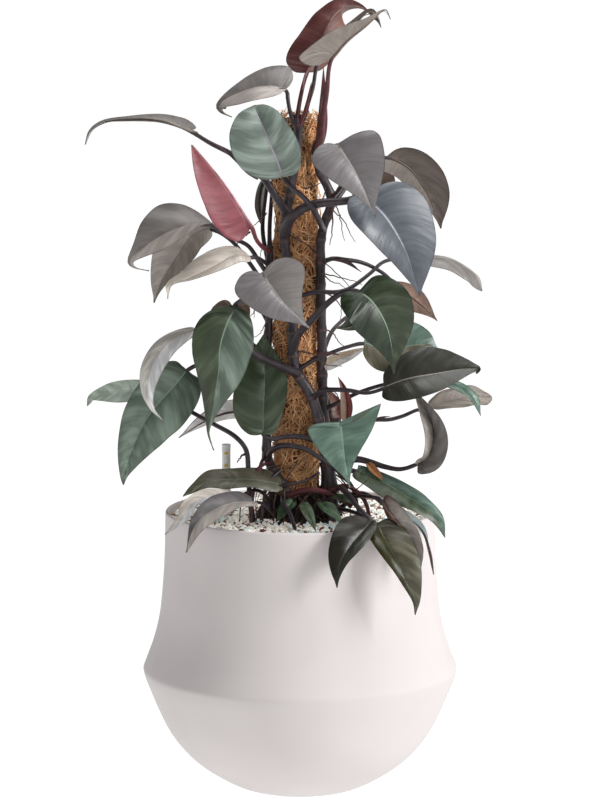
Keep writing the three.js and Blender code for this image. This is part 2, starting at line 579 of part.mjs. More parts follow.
// A thin blade bent from a flat box: its rows follow the rib and its columns run out to the margins
function blade({ rib, left, right, face, faceTip = face, arch = BLADE.arch }) {
  const box = matchDiagonals(new THREE.BoxGeometry(2, 1, 1, BLADE.columns, BLADE.rows, 1));
  const ribCurve = curveThrough(rib);
  const length = ribCurve.getLength();
  const [leftMargin, rightMargin] = [marginOf(left), marginOf(right)];
  const place = box.attributes.position;
  for (let i = 0; i < place.count; i += 1) {
    const across = place.getX(i);
    const share = Math.abs(across);
    const row = place.getY(i) + 0.5;
    const edges = [leftMargin.getPoint(row), rightMargin.getPoint(row)];
    const [width, degrees] = across > 0 ? left : right;
    const edge = across > 0 ? edges[0] : edges[1];
    const vein = (edges[0].z + edges[1].z) / 2;
    const along = THREE.MathUtils.lerp(vein, edge.x, share ** BLADE.veinBend);
    const onRib = THREE.MathUtils.clamp(along, 0, 1);
    const tangent = ribCurve.getTangentAt(onRib);
    const normal = vector(face).normalize().lerp(vector(faceTip).normalize(), onRib);
    normal.addScaledVector(tangent, -normal.dot(tangent)).normalize();
    const side = new THREE.Vector3().crossVectors(tangent, normal);
    const tilt = Math.sign(across) * THREE.MathUtils.degToRad(degrees);
    const outward = side.clone().applyAxisAngle(tangent, -tilt);
    const upward = normal.clone().applyAxisAngle(tangent, -tilt);
    const reach = edge.y * across * width;
    const hump = arch * 4 * share * (1 - share) * edge.y;
    const spot = ribCurve.getPointAt(onRib)
      .addScaledVector(tangent, Math.min(along, 0) * length)
      .addScaledVector(outward, reach)
      .addScaledVector(normal, hump)
      .addScaledVector(upward, place.getZ(i) * BLADE.thickness);
    place.setXYZ(i, spot.x, spot.y, spot.z);
  }
  return toSolid(box);
}

// Sub-parts

// The outer wall of the pot from its foot to just under its rim, as [radius, height]
function potWall() {
  const { lip, footRadius, ridgeRadius, ridgeHeight, rimRadius, rimHeight } = POT;
  const base = [[footRadius, 0], [84, 7], [110, 21], [134, 38], [153, 57]];
  const bowl = [...base, [168, 78], [180, 102], [190, 126], [ridgeRadius - 3.5, 143]];
  const ridge = [[ridgeRadius, ridgeHeight], [ridgeRadius - 4, ridgeHeight + 12]];
  const neck = [[186, 196], [179, 226], [175, 262], [rimRadius, rimHeight - lip]];
  return [...bowl, ...ridge, ...neck];
}

// The inner wall from the floor's edge up, moved in and up by a clearance
function potInside(clearance = 0) {
  const { wall, footRadius, floorHeight, insideRise } = POT;
  const floor = floorHeight + clearance;
  const inward = wall + clearance;
  const upward = insideRise + clearance;
  const wallPoints = potWall().slice(1, -1).map(([radius, height]) => [radius - inward, height + upward]);
  return [[0, floor], [footRadius - 2 * wall, floor], ...wallPoints];
}

function potSolid() {
  const { wall, lip, rimRadius, rimHeight, sides } = POT;
  const rim = [
    [rimRadius - lip, rimHeight], [rimRadius - wall + lip, rimHeight], [rimRadius - wall, rimHeight - lip],
  ];
  return toSolid(lathe([[0, 0], ...potWall(), ...rim, ...potInside().reverse()], sides));
}

function fillingSolid() {
  const { wall, rimRadius, sides } = POT;
  const { topHeight, clearance } = FILLING;
  const brim = rimRadius - wall - clearance;
  return toSolid(lathe([...potInside(clearance), [brim, topHeight], [0, topHeight]], sides));
}

function rootBallSolid(grow = 0) {
  const { radius, bottomHeight, shoulderHeight, crownHeight, sides } = ROOT_BALL;
  const under = [[0, bottomHeight - grow], [radius * 0.8 + grow, bottomHeight - grow]];
  const shoulder = [[radius + grow, shoulderHeight], [radius * 0.9 + grow, shoulderHeight + 12 + grow]];
  const crown = [
    [radius * 0.72 + grow, crownHeight - 14 + grow], [radius * 0.55 + grow, crownHeight + grow],
    [0, crownHeight + grow],
  ];
  return toSolid(lathe([...under, ...shoulder, ...crown], sides));
}

function poleSolid(radius, bottom, top, sides) {
  const rod = new THREE.CylinderGeometry(radius, radius, top - bottom, sides).rotateX(Math.PI / 2);
  rod.translate(POLE.x, POLE.y, (top + bottom) / 2);
  return toSolid(rod);
}

function gaugeSolid(grow = 0) {
  const { x, y, radius, footHeight, topHeight, capHeight, capRadius, capBevel, sides } = GAUGE;
  const capFoot = topHeight - capHeight;
  const tube = [[0, footHeight - grow], [radius + grow, footHeight - grow], [radius + grow, capFoot]];
  const cap = [[capRadius, capFoot], [capRadius, topHeight - capBevel], [capRadius - capBevel, topHeight]];
  return toSolid(lathe([...tube, ...cap, [0, topHeight]], sides).translate(x, y, 0));
}

function stemSolid({ route, radii }, grow = 0) {
  return bentRod(route, radii, STEM.sides, Math.round(route.length * STEM.stepsPerPoint), grow);
}

function stalkSolid({ stalk, rib, radii }, grow = 0) {
  const joint = curveThrough(rib).getPointAt(STALK.joinsRibAt).toArray();
  return bentRod([...stalk, joint], radii, STALK.sides, stalk.length + STALK.extraSteps, grow);
}

// The one body left of a leaf after cutting: slivers no bigger than a crumb are dropped
function mainBody(solid) {
  return solid.decompose().sort((one, other) => other.volume() - one.volume())[0];
}

// Assembly

const plant = new THREE.Group();

const ballRoom = rootBallSolid(GAP);
const poleRoom = poleSolid(POLE.radius + GAP, POLE.footHeight - GAP, POLE.topHeight + GAP, POLE.sides);
const stemRooms = Object.fromEntries(
  Object.entries(STEMS).map(([name, stem]) => [name, stemSolid(stem, GAP)]),
);

let rootBall = rootBallSolid().subtract(poleRoom);
let filling = fillingSolid().subtract(ballRoom).subtract(gaugeSolid(GAP)).subtract(poleRoom);
for (const room of Object.values(stemRooms)) {
  rootBall = rootBall.subtract(room);
  filling = filling.subtract(room);
}
const carriers = { ...stemRooms, root_ball: ballRoom };

plant.add(toMesh('pot', potSolid(), { color: 0xe9e4dc, roughness: 0.55 }));

const { stakeRadius, footHeight, stakeTop, stakeSides } = POLE;
const stake = poleSolid(stakeRadius, footHeight, stakeTop, stakeSides);
const stakeRoom = poleSolid(stakeRadius + GAP, footHeight - GAP, stakeTop + GAP, stakeSides);
const sleeve = poleSolid(POLE.radius, footHeight, POLE.topHeight, POLE.sides).subtract(stakeRoom);
plant.add(toMesh('pole_stake', stake, { color: 0x9a7b55, roughness: 0.8 }));
plant.add(toMesh('coir_sleeve', sleeve, { color: 0x96602f, roughness: 0.95 }));
plant.add(toMesh('water_gauge', gaugeSolid(), { color: 0xe4e4e0, roughness: 0.35 }));

for (const [name, stem] of Object.entries(STEMS)) {
  plant.add(toMesh(name, stemSolid(stem).subtract(poleRoom), { color: stem.color, roughness: 0.6 }));
}

for (const [name, leaf] of Object.entries(LEAVES)) {
  let solid = blade(leaf).add(stalkSolid(leaf));
  if (leaf.from === 'filling') {
    filling = filling.subtract(stalkSolid(leaf, GAP));
  } else {
    solid = solid.subtract(carriers[leaf.from]);
  }
  plant.add(toMesh(name, mainBody(solid), { color: leaf.color, roughness: 0.45 }));
}

plant.add(toMesh('root_ball', rootBall, { color: 0x2b211b, roughness: 1 }));
plant.add(toMesh('gravel_filling', filling, { color: 0xcfc3b2, roughness: 0.9 }));

export default plant;
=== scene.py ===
"""Potted climbing philodendron on a coir pole, dressed around the fixed frame.

Dimensions are in millimetres and the scene is in metres, with +Z up. The plant is seen from -Y, and the
origin is the centre of the flat foot that its pot stands on.
"""

import logging
import math
import random
from dataclasses import dataclass
from enum import Enum
from math import cos, sin
from typing import Sequence

import bpy
import numpy as np
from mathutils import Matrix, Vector, noise

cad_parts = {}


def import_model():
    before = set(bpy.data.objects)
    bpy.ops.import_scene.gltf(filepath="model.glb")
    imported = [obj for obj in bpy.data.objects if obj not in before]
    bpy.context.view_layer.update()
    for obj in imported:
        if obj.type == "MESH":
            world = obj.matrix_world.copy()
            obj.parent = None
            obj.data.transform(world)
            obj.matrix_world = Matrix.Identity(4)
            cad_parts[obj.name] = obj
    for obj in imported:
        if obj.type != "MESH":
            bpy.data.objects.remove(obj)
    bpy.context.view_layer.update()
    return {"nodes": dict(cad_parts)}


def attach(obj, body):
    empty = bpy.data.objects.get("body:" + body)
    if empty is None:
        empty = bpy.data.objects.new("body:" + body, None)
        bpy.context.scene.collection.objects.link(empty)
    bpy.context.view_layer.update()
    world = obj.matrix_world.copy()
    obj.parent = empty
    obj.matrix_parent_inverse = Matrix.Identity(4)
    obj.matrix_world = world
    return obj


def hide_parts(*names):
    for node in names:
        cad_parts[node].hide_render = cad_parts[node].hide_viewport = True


log = logging.getLogger("plant")

MM = 0.001
BODY = "root"

# How many steps a smooth line takes between two of the points that it passes through.
CURVE_STEPS = 24

Array = np.ndarray
Piece = bpy.types.Object
Material = bpy.types.Material
Socket = bpy.types.NodeSocket
Span = tuple[float, float]
Point = tuple[float, float, float]
Way = tuple[Point, ...]
Section = tuple[Span, ...]
Value = Socket | float | str | tuple[float, ...]
Inputs = dict[int | str, Value]


class StalkTone(Enum):
    """The skin colour of a leaf's stalk."""

    DARK = "#352c31"
    MAROON = "#54262a"
    RED = "#70343a"


class Tint(str, Enum):
    """The leaf colours, light greys first, then browns and reds, then greens.

    Each holds the light on its leaf as well as the leaf's own colour. Every tint is lightened or
    darkened as painted light and shade, and the greys and pale tints are partly painted reflection of
    white light on the waxy skin.
    """

    CHALK = "#ededed"
    PEARL = "#e4dace"
    LINEN = "#cfcac2"
    SAND = "#ead5ba"
    SILVER = "#b5aca5"
    STONE = "#a09b95"
    ASH = "#8b8279"
    SMOKE = "#7e7976"
    STEEL = "#6e6a6b"
    SLATE = "#585d64"
    BLUE_MIST = "#93959b"
    BLUE_GREY = "#7f8a8c"
    LILAC = "#a79aa8"
    TAUPE = "#6f645d"
    UMBER = "#4b403a"
    CHARCOAL = "#31322a"
    SOOT = "#1e1a10"
    BRONZE = "#5b4b40"
    COCOA = "#6c594d"
    BLUSH = "#bf9c8c"
    PINK = "#c58d96"
    ROSE = "#b06974"
    GARNET = "#823b43"
    WINE = "#7a2a2a"
    MAROON = "#5c2e2b"
    RUST = "#70483e"
    CLAY = "#8d655b"
    NIGHT_GREEN = "#1c2b16"
    PINE = "#39452f"
    MOSS = "#47533f"
    LEAF_GREEN = "#405a3e"
    FERN = "#586c56"
    SEA_GREEN = "#5d7568"
    SAGE = "#758677"
    DUSTY_SAGE = "#7d8b82"
    PALE_SAGE = "#7d9283"
    PALE_FERN = "#8fa28d"
    MIST = "#a9b8a8"
    OLIVE = "#5e5b49"
    DRAB = "#737462"
    DARK_OLIVE = "#303010"


@dataclass(frozen=True)
class Half:
    """One half of a blade, beside its midrib.

    Width is in millimetres. Rise is how far the half tilts up, in degrees. Lobe, widest and sweep are
    shares of the blade's length: how far it reaches behind the notch, where it is widest, and how far
    its margin is drawn towards the tip. Full is above 1 for a broad tip and below 1 for a slender one.
    """

    width: float
    rise: float = 10
    lobe: float = 0.05
    widest: float = 0.3
    full: float = 1.0
    sweep: float = 0.0


@dataclass(frozen=True)
class Paint:
    """Colours of one blade's two sides and its midrib, and how streaked it is.

    A side has its left half's colour and its right half's, or one colour for both. Where the two halves
    differ, that is mostly painted light and shade: one half turned to the light and the other away.
    """

    upper: tuple[str, ...]
    under: tuple[str, ...]
    rib: str
    streak: float


@dataclass(frozen=True)
class Leaf:
    """One leaf: the way of its stalk and midrib in millimetres, its two halves and its colours.

    The left half lies on the left of a leaf that hangs with its tip down and its face to the viewer, and
    the right one is like it where it isn't given. Radii are those of the stalk's two ends. Face and
    face_tip are the directions that its upper side looks at the notch and at the tip. Arch is how high
    the halves swell and wave how far the margin ripples, in millimetres, and pleat scales the furrows
    between the veins. Dark_and_shaded_base is the colour that it darkens to near the notch, where it
    does: partly the leaf's own deeper colour there and partly painted shade cast by the leaves above.
    """

    name: str
    slot: str
    paint: Paint
    stalk: Way
    rib: Way
    left: Half
    face: Point
    right: Half | None = None
    radii: Span = (3, 2.2)
    face_tip: Point | None = None
    arch: float = 2.0
    wave: float = 0.0
    pleat: float = 0.5
    dark_and_shaded_base: str = ""
    tone: StalkTone = StalkTone.DARK


LEAVES: tuple[Leaf, ...] = (
    Leaf(
        "crown_1", "leaf_bronze", Paint((Tint.BRONZE, Tint.COCOA), (Tint.MAROON, Tint.RUST), Tint.RUST, 0.9),
        stalk=((-5, -34, 850), (-3, -37, 862), (0, -36, 880), (4, -30, 898)),
        rib=((10, -8, 913), (24, 4, 945), (39, 20, 977), (56, 34, 994), (78, 44, 993), (91, 48, 981)),
        left=Half(40, 14, 0.02, 0.14, 0.68), right=Half(28, 30, 0, 0.4, 0.9, 0.15),
        face=(0.35, 0.9, -0.1), face_tip=(0.2, 0.75, 0.6), tone=StalkTone.MAROON,
    ),
    Leaf(
        "crown_2", "leaf_grey", Paint((Tint.ASH,), (Tint.ASH, Tint.TAUPE), Tint.ASH, 0.5),
        stalk=((21, -29, 822), (25, -36, 832), (27, -41, 853), (30, -47, 872), (33, -52, 891)),
        radii=(5.2, 2.1),
        rib=((36, -58, 929), (55, -62, 952), (80, -66, 972), (105, -68, 991), (111, -70, 980)),
        left=Half(37, 62, 0.1, 0, 0.62, -0.14), right=Half(30, 60, 0.08, 0.02, 0.62, -0.1),
        face=(-0.6, -0.1, 0.8), arch=4, tone=StalkTone.MAROON,
    ),
    Leaf(
        "crown_3", "leaf_grey", Paint((Tint.TAUPE,), (Tint.UMBER, Tint.BRONZE), Tint.ASH, 0.4),
        stalk=((-3, -34, 845), (5, -37, 858), (10, -36, 876), (16, -32, 895)),
        rib=((21, -27, 928), (42, -25, 949), (64, -20, 969), (87, -14, 988), (97, -12, 979),
             (101, -12, 968)),
        left=Half(13, 20, 0.1, 0.3), right=Half(14, 30, 0.1, 0.5, 1.1), face=(-0.6, 0.4, 0.65),
    ),
    Leaf(
        "upper_left_1", "leaf_grey", Paint((Tint.SMOKE, Tint.SILVER), (Tint.ASH,), Tint.SILVER, 0.5),
        stalk=((-7, -33, 850), (-12, -38, 864), (-15, -38, 880)), radii=(2.8, 2.2),
        rib=((-17, -36, 893), (-47, -28, 896), (-72, -18, 889), (-99, -8, 874), (-99, -5, 864),
             (-85, -4, 857)),
        left=Half(38, 14, 0.03, 0.12, 0.7), right=Half(26, -6, 0, 0.3, 0.9, 0.12), face=(0, -0.5, 0.87),
    ),
    Leaf(
        "upper_left_2", "leaf_green", Paint((Tint.DUSTY_SAGE,), (Tint.SMOKE,), Tint.LILAC, 0.75),
        stalk=((29, -25, 718), (23, -60, 734), (14, -78, 751), (3, -86, 764), (-11, -88, 776)),
        radii=(4.2, 2.8),
        rib=((-21, -87, 788), (-28, -95, 809), (-37, -99, 830), (-46, -93, 852), (-54, -72, 869),
             (-56, -52, 874)),
        left=Half(33, 8, 0, 0.36, 1.2), right=Half(47, 8, 0, 0.36, 1.4, 0.1),
        face=(-0.1, -0.95, 0.2), arch=3,
    ),
    Leaf(
        "upper_left_3", "leaf_grey", Paint((Tint.SMOKE, Tint.ASH), (Tint.TAUPE, Tint.UMBER), Tint.ASH, 0.6),
        stalk=((-18, -35, 742), (-32, -46, 764), (-44, -44, 782), (-62, -32, 797), (-86, -27, 813),
               (-112, -25, 826)),
        radii=(5.2, 2.3),
        rib=((-136, -25, 843), (-168, -30, 854), (-211, -38, 856), (-243, -44, 853), (-259, -47, 842),
             (-266, -48, 825)),
        left=Half(35, 0, 0.05, 0.12, 1.5), right=Half(36, 12, 0.05, 0.3, 1.1),
        face=(0, -0.25, 1), face_tip=(0, -0.03, 1), arch=1,
    ),
    Leaf(
        "young_red", "leaf_red", Paint((Tint.ROSE,), (Tint.GARNET,), Tint.PINK, 0.35),
        stalk=((-38, -18, 690), (-46, -52, 698), (-54, -82, 711)), radii=(3, 2.4),
        rib=((-61, -98, 725), (-78, -106, 755), (-95, -110, 782), (-115, -110, 808), (-132, -108, 829)),
        left=Half(40, 66, 0.03, 0.3, 1.4), right=Half(36, 70, 0.03, 0.3, 1.4),
        face=(-0.82, -0.1, -0.57), arch=6, tone=StalkTone.RED,
    ),
    Leaf(
        "upper_right_1", "leaf_grey", Paint((Tint.STEEL,), (Tint.TAUPE,), Tint.STONE, 0.35),
        stalk=((39, -22, 757), (52, -60, 775), (57, -86, 796), (52, -98, 816)),
        rib=((45, -102, 829), (55, -108, 815), (67, -112, 796), (78, -113, 774), (92, -110, 741)),
        left=Half(41, 10, 0.08, 0.1, 0.72), right=Half(49, 6, 0, 0.18, 0.85, 0.02),
        face=(0.1, -0.93, 0.3), arch=3,
    ),
    Leaf(
        "upper_right_2", "leaf_bronze", Paint((Tint.BRONZE,), (Tint.TAUPE, Tint.SILVER), Tint.COCOA, 0.7),
        stalk=((35, -24, 738), (62, 4, 774), (90, 22, 800)),
        rib=((110, 30, 806), (126, 33, 800), (139, 36, 791), (149, 39, 779), (158, 42, 765), (167, 46, 747),
             (179, 48, 713)),
        left=Half(33, 25, 0, 0.26, 1.1, 0.2), right=Half(34, 3, 0.04, 0.2, 0.85), face=(0.45, 0.7, 0.5),
    ),
    Leaf(
        "upper_right_3", "leaf_grey", Paint((Tint.SLATE,), (Tint.TAUPE,), Tint.BLUE_MIST, 0.4),
        stalk=((-19, -34, 716), (-12, -50, 733), (0, -60, 745), (15, -64, 752), (32, -66, 755),
               (56, -68, 757)),
        radii=(6.8, 4.4),
        rib=((80, -70, 762), (105, -73, 738), (129, -71, 698), (141, -68, 664), (148, -64, 639)),
        left=Half(44, 12, 0.08, 0.2), right=Half(57, 6, 0, 0.26, 1.1, 0.08),
        face=(0.25, -0.85, 0.45), arch=4,
    ),
    Leaf(
        "left_1", "leaf_grey", Paint((Tint.SMOKE, Tint.SILVER), (Tint.TAUPE,), Tint.STONE, 0.7),
        stalk=((-37, -18, 655), (-50, -26, 676), (-64, -36, 698), (-80, -50, 708), (-94, -58, 716)),
        radii=(3, 2.4),
        rib=((-108, -64, 728), (-138, -72, 727), (-169, -80, 716), (-193, -84, 700), (-209, -86, 683),
             (-203, -84, 676), (-186, -82, 672)),
        left=Half(42, 10, 0, 0.22, 0.5, 0.1), right=Half(34, 25, 0, 0.3, 0.5, 0.05),
        face=(0.1, -0.2, 1), face_tip=(-0.2, -1, -0.2),
    ),
    Leaf(
        "left_2", "leaf_grey", Paint((Tint.SILVER, Tint.ASH), (Tint.TAUPE, Tint.UMBER), Tint.ASH, 0.6),
        stalk=((-38, -14, 635), (-62, 14, 670), (-90, 28, 702)), radii=(3, 2.4),
        rib=((-116, 32, 715), (-138, 28, 704), (-152, 26, 684), (-165, 24, 665), (-177, 22, 644),
             (-185, 20, 621)),
        left=Half(33, 20, 0, 0.4), right=Half(32, 20, 0, 0.3, 0.9), face=(-0.4, -0.8, 0.45),
    ),
    Leaf(
        "left_3", "leaf_grey", Paint((Tint.PEARL,), (Tint.ASH,), Tint.TAUPE, 0.5),
        stalk=((-37, -19, 671), (-46, -40, 680), (-55, -53, 686)), radii=(2.8, 2.2),
        rib=((-63, -60, 688), (-80, -66, 689), (-107, -76, 676), (-136, -86, 663), (-159, -90, 655),
             (-163, -92, 638)),
        left=Half(28, 12, 0, 0.3, 0.9, 0.15), right=Half(20, 0, 0, 0.15, 0.6), face=(0.1, -0.3, 0.95),
    ),
    Leaf(
        "middle_1", "leaf_grey", Paint((Tint.STEEL, Tint.SMOKE), (Tint.TAUPE,), Tint.STONE, 0.35),
        stalk=((-9, -34, 603), (-26, -64, 628), (-41, -94, 655)),
        rib=((-46, -118, 672), (-34, -122, 655), (-21, -124, 638), (-5, -123, 622), (12, -120, 605)),
        left=Half(42, 8, 0.14, 0.07, 0.88), right=Half(47, 6, 0.05, 0.24, 0.6),
        face=(0, -0.95, 0.28), arch=3,
    ),
    Leaf(
        "right_1", "leaf_grey", Paint((Tint.SMOKE, Tint.STONE), (Tint.STONE, Tint.ASH), Tint.ASH, 0.5),
        stalk=((-11, -34, 632), (12, -45, 640), (25, -45, 642), (44, -40, 641), (60, -32, 644),
               (88, -14, 662),
               (104, -4, 675)),
        radii=(3.2, 2.2),
        rib=((122, 2, 681), (165, 6, 680), (190, 8, 677), (208, 10, 668), (223, 11, 655), (230, 12, 637)),
        left=Half(22, 0, 0, 0.4, 1.3, 0.25), right=Half(24, -30, 0, 0.4, 1.2), face=(0, -0.5, 0.87), arch=1,
    ),
    Leaf(
        "right_2", "leaf_bronze", Paint((Tint.COCOA,), (Tint.BLUSH,), Tint.COCOA, 0.5),
        stalk=((26, -23, 676), (40, -20, 681), (57, -12, 679), (76, -2, 675), (94, 3, 667), (110, 4, 656)),
        rib=((122, 2, 643), (141, 0, 631), (159, -2, 616), (173, -4, 601)),
        left=Half(14, 12, 0.05, 0.4, 0.9), right=Half(24, 6, 0.05, 0.35, 0.9), face=(0.3, 0.8, 0.5),
    ),
    Leaf(
        "right_3", "leaf_green", Paint((Tint.NIGHT_GREEN, Tint.PINE), (Tint.BRONZE,), Tint.PALE_FERN, 1.0),
        stalk=((-9, -34, 567), (-2, -50, 589), (12, -64, 606), (25, -78, 622), (38, -92, 636),
               (53, -104, 647)),
        radii=(5.2, 3.2),
        rib=((72, -114, 650), (86, -119, 640), (98, -120, 624), (107, -118, 605), (112, -113, 584),
             (116, -106, 547)),
        left=Half(41, 12, 0.1, 0.28, 0.85), right=Half(42, 8, 0, 0.26, 0.8, 0.05),
        face=(0.1, -0.93, 0.33), dark_and_shaded_base=Tint.NIGHT_GREEN, wave=3, pleat=1.0,
    ),
    Leaf(
        "right_4", "leaf_green", Paint((Tint.OLIVE, Tint.SEA_GREEN), (Tint.OLIVE,), Tint.PALE_SAGE, 0.6),
        stalk=((-4, -34, 542), (19, -43, 557), (38, -44, 565), (58, -41, 572)),
        rib=((80, -36, 577), (106, -33, 570), (135, -28, 572), (158, -24, 574), (175, -20, 566)),
        left=Half(33, -4, 0, 0.3, 0.8, 0.05), right=Half(36, 8, 0, 0.6, 0.8), face=(0, -0.8, 0.6), wave=1.5,
    ),
    Leaf(
        "right_5", "leaf_grey", Paint((Tint.CHARCOAL,), (Tint.TAUPE,), Tint.ASH, 0.9),
        stalk=((16, -34, 505), (26, -50, 518), (44, -60, 521), (62, -68, 521), (84, -76, 519)),
        radii=(3.6, 2),
        rib=((104, -82, 527), (124, -85, 535), (142, -86, 540), (167, -84, 544), (192, -80, 548),
             (212, -77, 550), (221, -76, 549), (219, -76, 543)),
        left=Half(33, 2, 0.03, 0.3, 1.2), right=Half(37, 14, 0, 0.42, 1, 0.08),
        face=(0, -0.68, 0.74), pleat=0.9,
    ),
    Leaf(
        "right_6", "leaf_grey", Paint((Tint.ASH,), (Tint.ASH,), Tint.SMOKE, 0.6),
        stalk=((31, -8, 459), (60, -4, 469), (94, 2, 474), (114, 6, 474), (131, 10, 478), (149, 14, 485)),
        radii=(3.2, 2.2),
        rib=((163, 18, 488), (178, 20, 492), (197, 23, 498), (216, 26, 501), (244, 30, 500)),
        left=Half(21, -8, 0, 0.35, 1.6, 0.3), right=Half(23, 10, 0, 0.4, 1.6, 0.1),
        face=(0.1, -0.35, 0.93), wave=1.5,
    ),
    Leaf(
        "right_7", "leaf_green", Paint((Tint.SEA_GREEN,), (Tint.OLIVE,), Tint.PALE_SAGE, 0.5),
        stalk=((29, -10, 488), (80, -18, 514), (130, -22, 527)), radii=(2.8, 2),
        rib=((163, -22, 528), (189, -24, 523), (206, -26, 516), (219, -28, 505), (227, -30, 484)),
        left=Half(11, 4, 0, 0.45, 1.2), right=Half(11, 8, 0, 0.45, 1.2), face=(0.5, -0.5, 0.7), arch=1,
    ),
    Leaf(
        "right_8", "leaf_grey", Paint((Tint.SMOKE, Tint.SILVER), (Tint.UMBER, Tint.TAUPE), Tint.STONE, 0.9),
        stalk=((37, -39, 418), (56, -46, 428), (71, -52, 432), (87, -60, 430), (106, -68, 425),
               (126, -74, 423)),
        radii=(5.4, 2.2),
        rib=((147, -78, 430), (158, -81, 438), (165, -84, 457), (165, -84, 475), (158, -81, 495),
             (140, -76, 525)),
        left=Half(29, 58, 0.03, 0.42, 1.1), right=Half(20, 54, 0, 0.45),
        face=(0.3, -0.9, 0.1), face_tip=(-0.35, -0.9, 0.1), arch=4,
    ),
    Leaf(
        "middle_2", "leaf_green", Paint((Tint.SEA_GREEN,), (Tint.OLIVE,), Tint.PALE_SAGE, 0.6),
        stalk=((28, -37, 458), (38, -70, 478), (45, -100, 489)), radii=(3.2, 2.4),
        rib=((49, -120, 489), (52, -134, 469), (55, -149, 446), (59, -160, 427), (61, -164, 414)),
        left=Half(41, 6, 0, 0.1, 0.85), right=Half(53, 6, 0, 0.03, 0.6, -0.2), face=(0, -0.8, 0.55),
    ),
    Leaf(
        "young_sheath", "leaf_red", Paint((Tint.WINE, Tint.BLUSH), (Tint.WINE,), Tint.GARNET, 0.4),
        stalk=((30, -9, 466), (46, -28, 470)), radii=(2.6, 2),
        rib=((58, -37, 479), (59, -39, 498), (55, -39, 518), (48, -37, 534)),
        left=Half(9, 26, 0.03, 0.36, 1.2), right=Half(8, 32, 0.03, 0.36, 1.2),
        face=(-0.3, -0.9, 0.1), arch=1.5, tone=StalkTone.RED,
    ),
    Leaf(
        "left_4", "leaf_green", Paint((Tint.PINE, Tint.SAGE), (Tint.OLIVE,), Tint.PALE_FERN, 1.0),
        stalk=((-3, -34, 538), (-24, -56, 550), (-43, -76, 561), (-60, -92, 573), (-74, -108, 601)),
        radii=(6, 3.6),
        rib=((-78, -122, 633), (-86, -126, 618), (-94, -130, 598), (-98, -134, 580), (-99, -138, 556),
             (-103, -139, 531), (-109, -136, 500), (-112, -132, 475), (-106, -128, 455)),
        left=Half(36, 10, 0, 0.12, 0.62, 0.12), right=Half(42, 14, 0, 0.26, 0.46, 0.04),
        face=(-0.05, -0.97, 0.2), dark_and_shaded_base=Tint.NIGHT_GREEN, wave=2.5, pleat=0.9,
    ),
    Leaf(
        "left_5", "leaf_grey", Paint((Tint.LINEN, Tint.CHALK), (Tint.STONE,), Tint.SILVER, 1.0),
        stalk=((-41, -12, 556), (-75, -48, 588), (-104, -78, 602)),
        rib=((-128, -96, 601), (-148, -98, 593), (-167, -101, 580), (-181, -104, 559), (-187, -106, 537),
             (-187, -105, 519), (-181, -103, 502), (-169, -101, 488)),
        left=Half(19, 4, 0, 0.42, 1.4, 0.1), right=Half(26, 4, 0, 0.45, 1.5),
        face=(0.1, -0.4, 0.95), face_tip=(-0.95, -0.3, -0.1), arch=1.5,
    ),
    Leaf(
        "left_6", "leaf_green", Paint((Tint.SAGE,), (Tint.OLIVE,), Tint.PALE_SAGE, 0.8),
        stalk=((-41, -12, 530), (-80, 2, 548), (-115, 8, 548)), radii=(3, 2.4),
        rib=((-143, 8, 537), (-158, 6, 518), (-177, 4, 497), (-193, 2, 477), (-205, 0, 454), (-215, -3, 430),
             (-223, -5, 402), (-224, -5, 392)),
        left=Half(36, 10, 0, 0.27, 1.3), right=Half(45, 8, 0, 0.36),
        face=(-0.15, -0.92, 0.35), arch=4, dark_and_shaded_base=Tint.NIGHT_GREEN,
    ),
    Leaf(
        "left_7", "leaf_green", Paint((Tint.MIST,), (Tint.OLIVE,), Tint.PALE_FERN, 0.6),
        stalk=((-56, -34, 335), (-63, -34, 377), (-65, -33, 415), (-68, -32, 441), (-81, -30, 457),
               (-109, -20, 472), (-134, -3, 483), (-160, 18, 495)),
        radii=(3.6, 2.4),
        rib=((-185, 44, 509), (-224, 48, 505), (-251, 52, 502), (-267, 56, 496), (-273, 58, 484)),
        left=Half(23, 2, 0.05, 0.4, 1.3), right=Half(24, -2, 0.05, 0.4, 1.3), face=(0, -0.42, 0.9), arch=1,
    ),
    Leaf(
        "left_8", "leaf_bronze", Paint((Tint.BRONZE,), (Tint.CHALK,), Tint.COCOA, 0.5),
        stalk=((-42, -16, 470), (-47, 4, 480)),
        rib=((-56, 19, 489), (-76, 17, 485), (-98, 15, 481), (-120, 13, 472), (-137, 11, 462),
             (-154, 9, 450)),
        left=Half(20, 0, 0, 0.35, 0.9), right=Half(26, 4, 0, 0.35, 0.9), face=(-0.2, 0.6, 0.75), arch=1,
    ),
    Leaf(
        "middle_3", "leaf_green", Paint((Tint.MOSS, Tint.PINE), (Tint.OLIVE,), Tint.FERN, 0.7),
        stalk=((30, -37, 449), (16, -46, 456), (0, -48, 460), (-19, -48, 460), (-34, -52, 458)),
        radii=(3.8, 2.8),
        rib=((-46, -56, 465), (-46, -52, 493), (-44, -46, 519), (-44, -34, 555), (-45, -28, 587)),
        left=Half(28, 12, 0.04, 0.45, 1, 0.08), right=Half(40, 8, 0.04, 0.28, 1.25, 0.08),
        face=(0.1, -0.95, 0.1), wave=1.5,
    ),
    Leaf(
        "behind_pole_strip", "leaf_grey", Paint((Tint.CHALK, Tint.SAND), (Tint.ASH,), Tint.ASH, 0.5),
        stalk=((28, -12, 525), (29, -16, 538)), radii=(2.8, 2.2),
        rib=((31, -18, 544), (45, -18, 552), (63, -18, 559), (84, -17, 569)),
        left=Half(11, -6, 0, 0.4), right=Half(13, 4, 0, 0.4), face=(0, -0.5, 0.87), arch=1,
    ),
    Leaf(
        "low_1", "leaf_green", Paint((Tint.OLIVE, Tint.DRAB), (Tint.OLIVE,), Tint.PALE_FERN, 0.7),
        stalk=((-19, -36, 391), (-20, -44, 397)), radii=(3.4, 2.6),
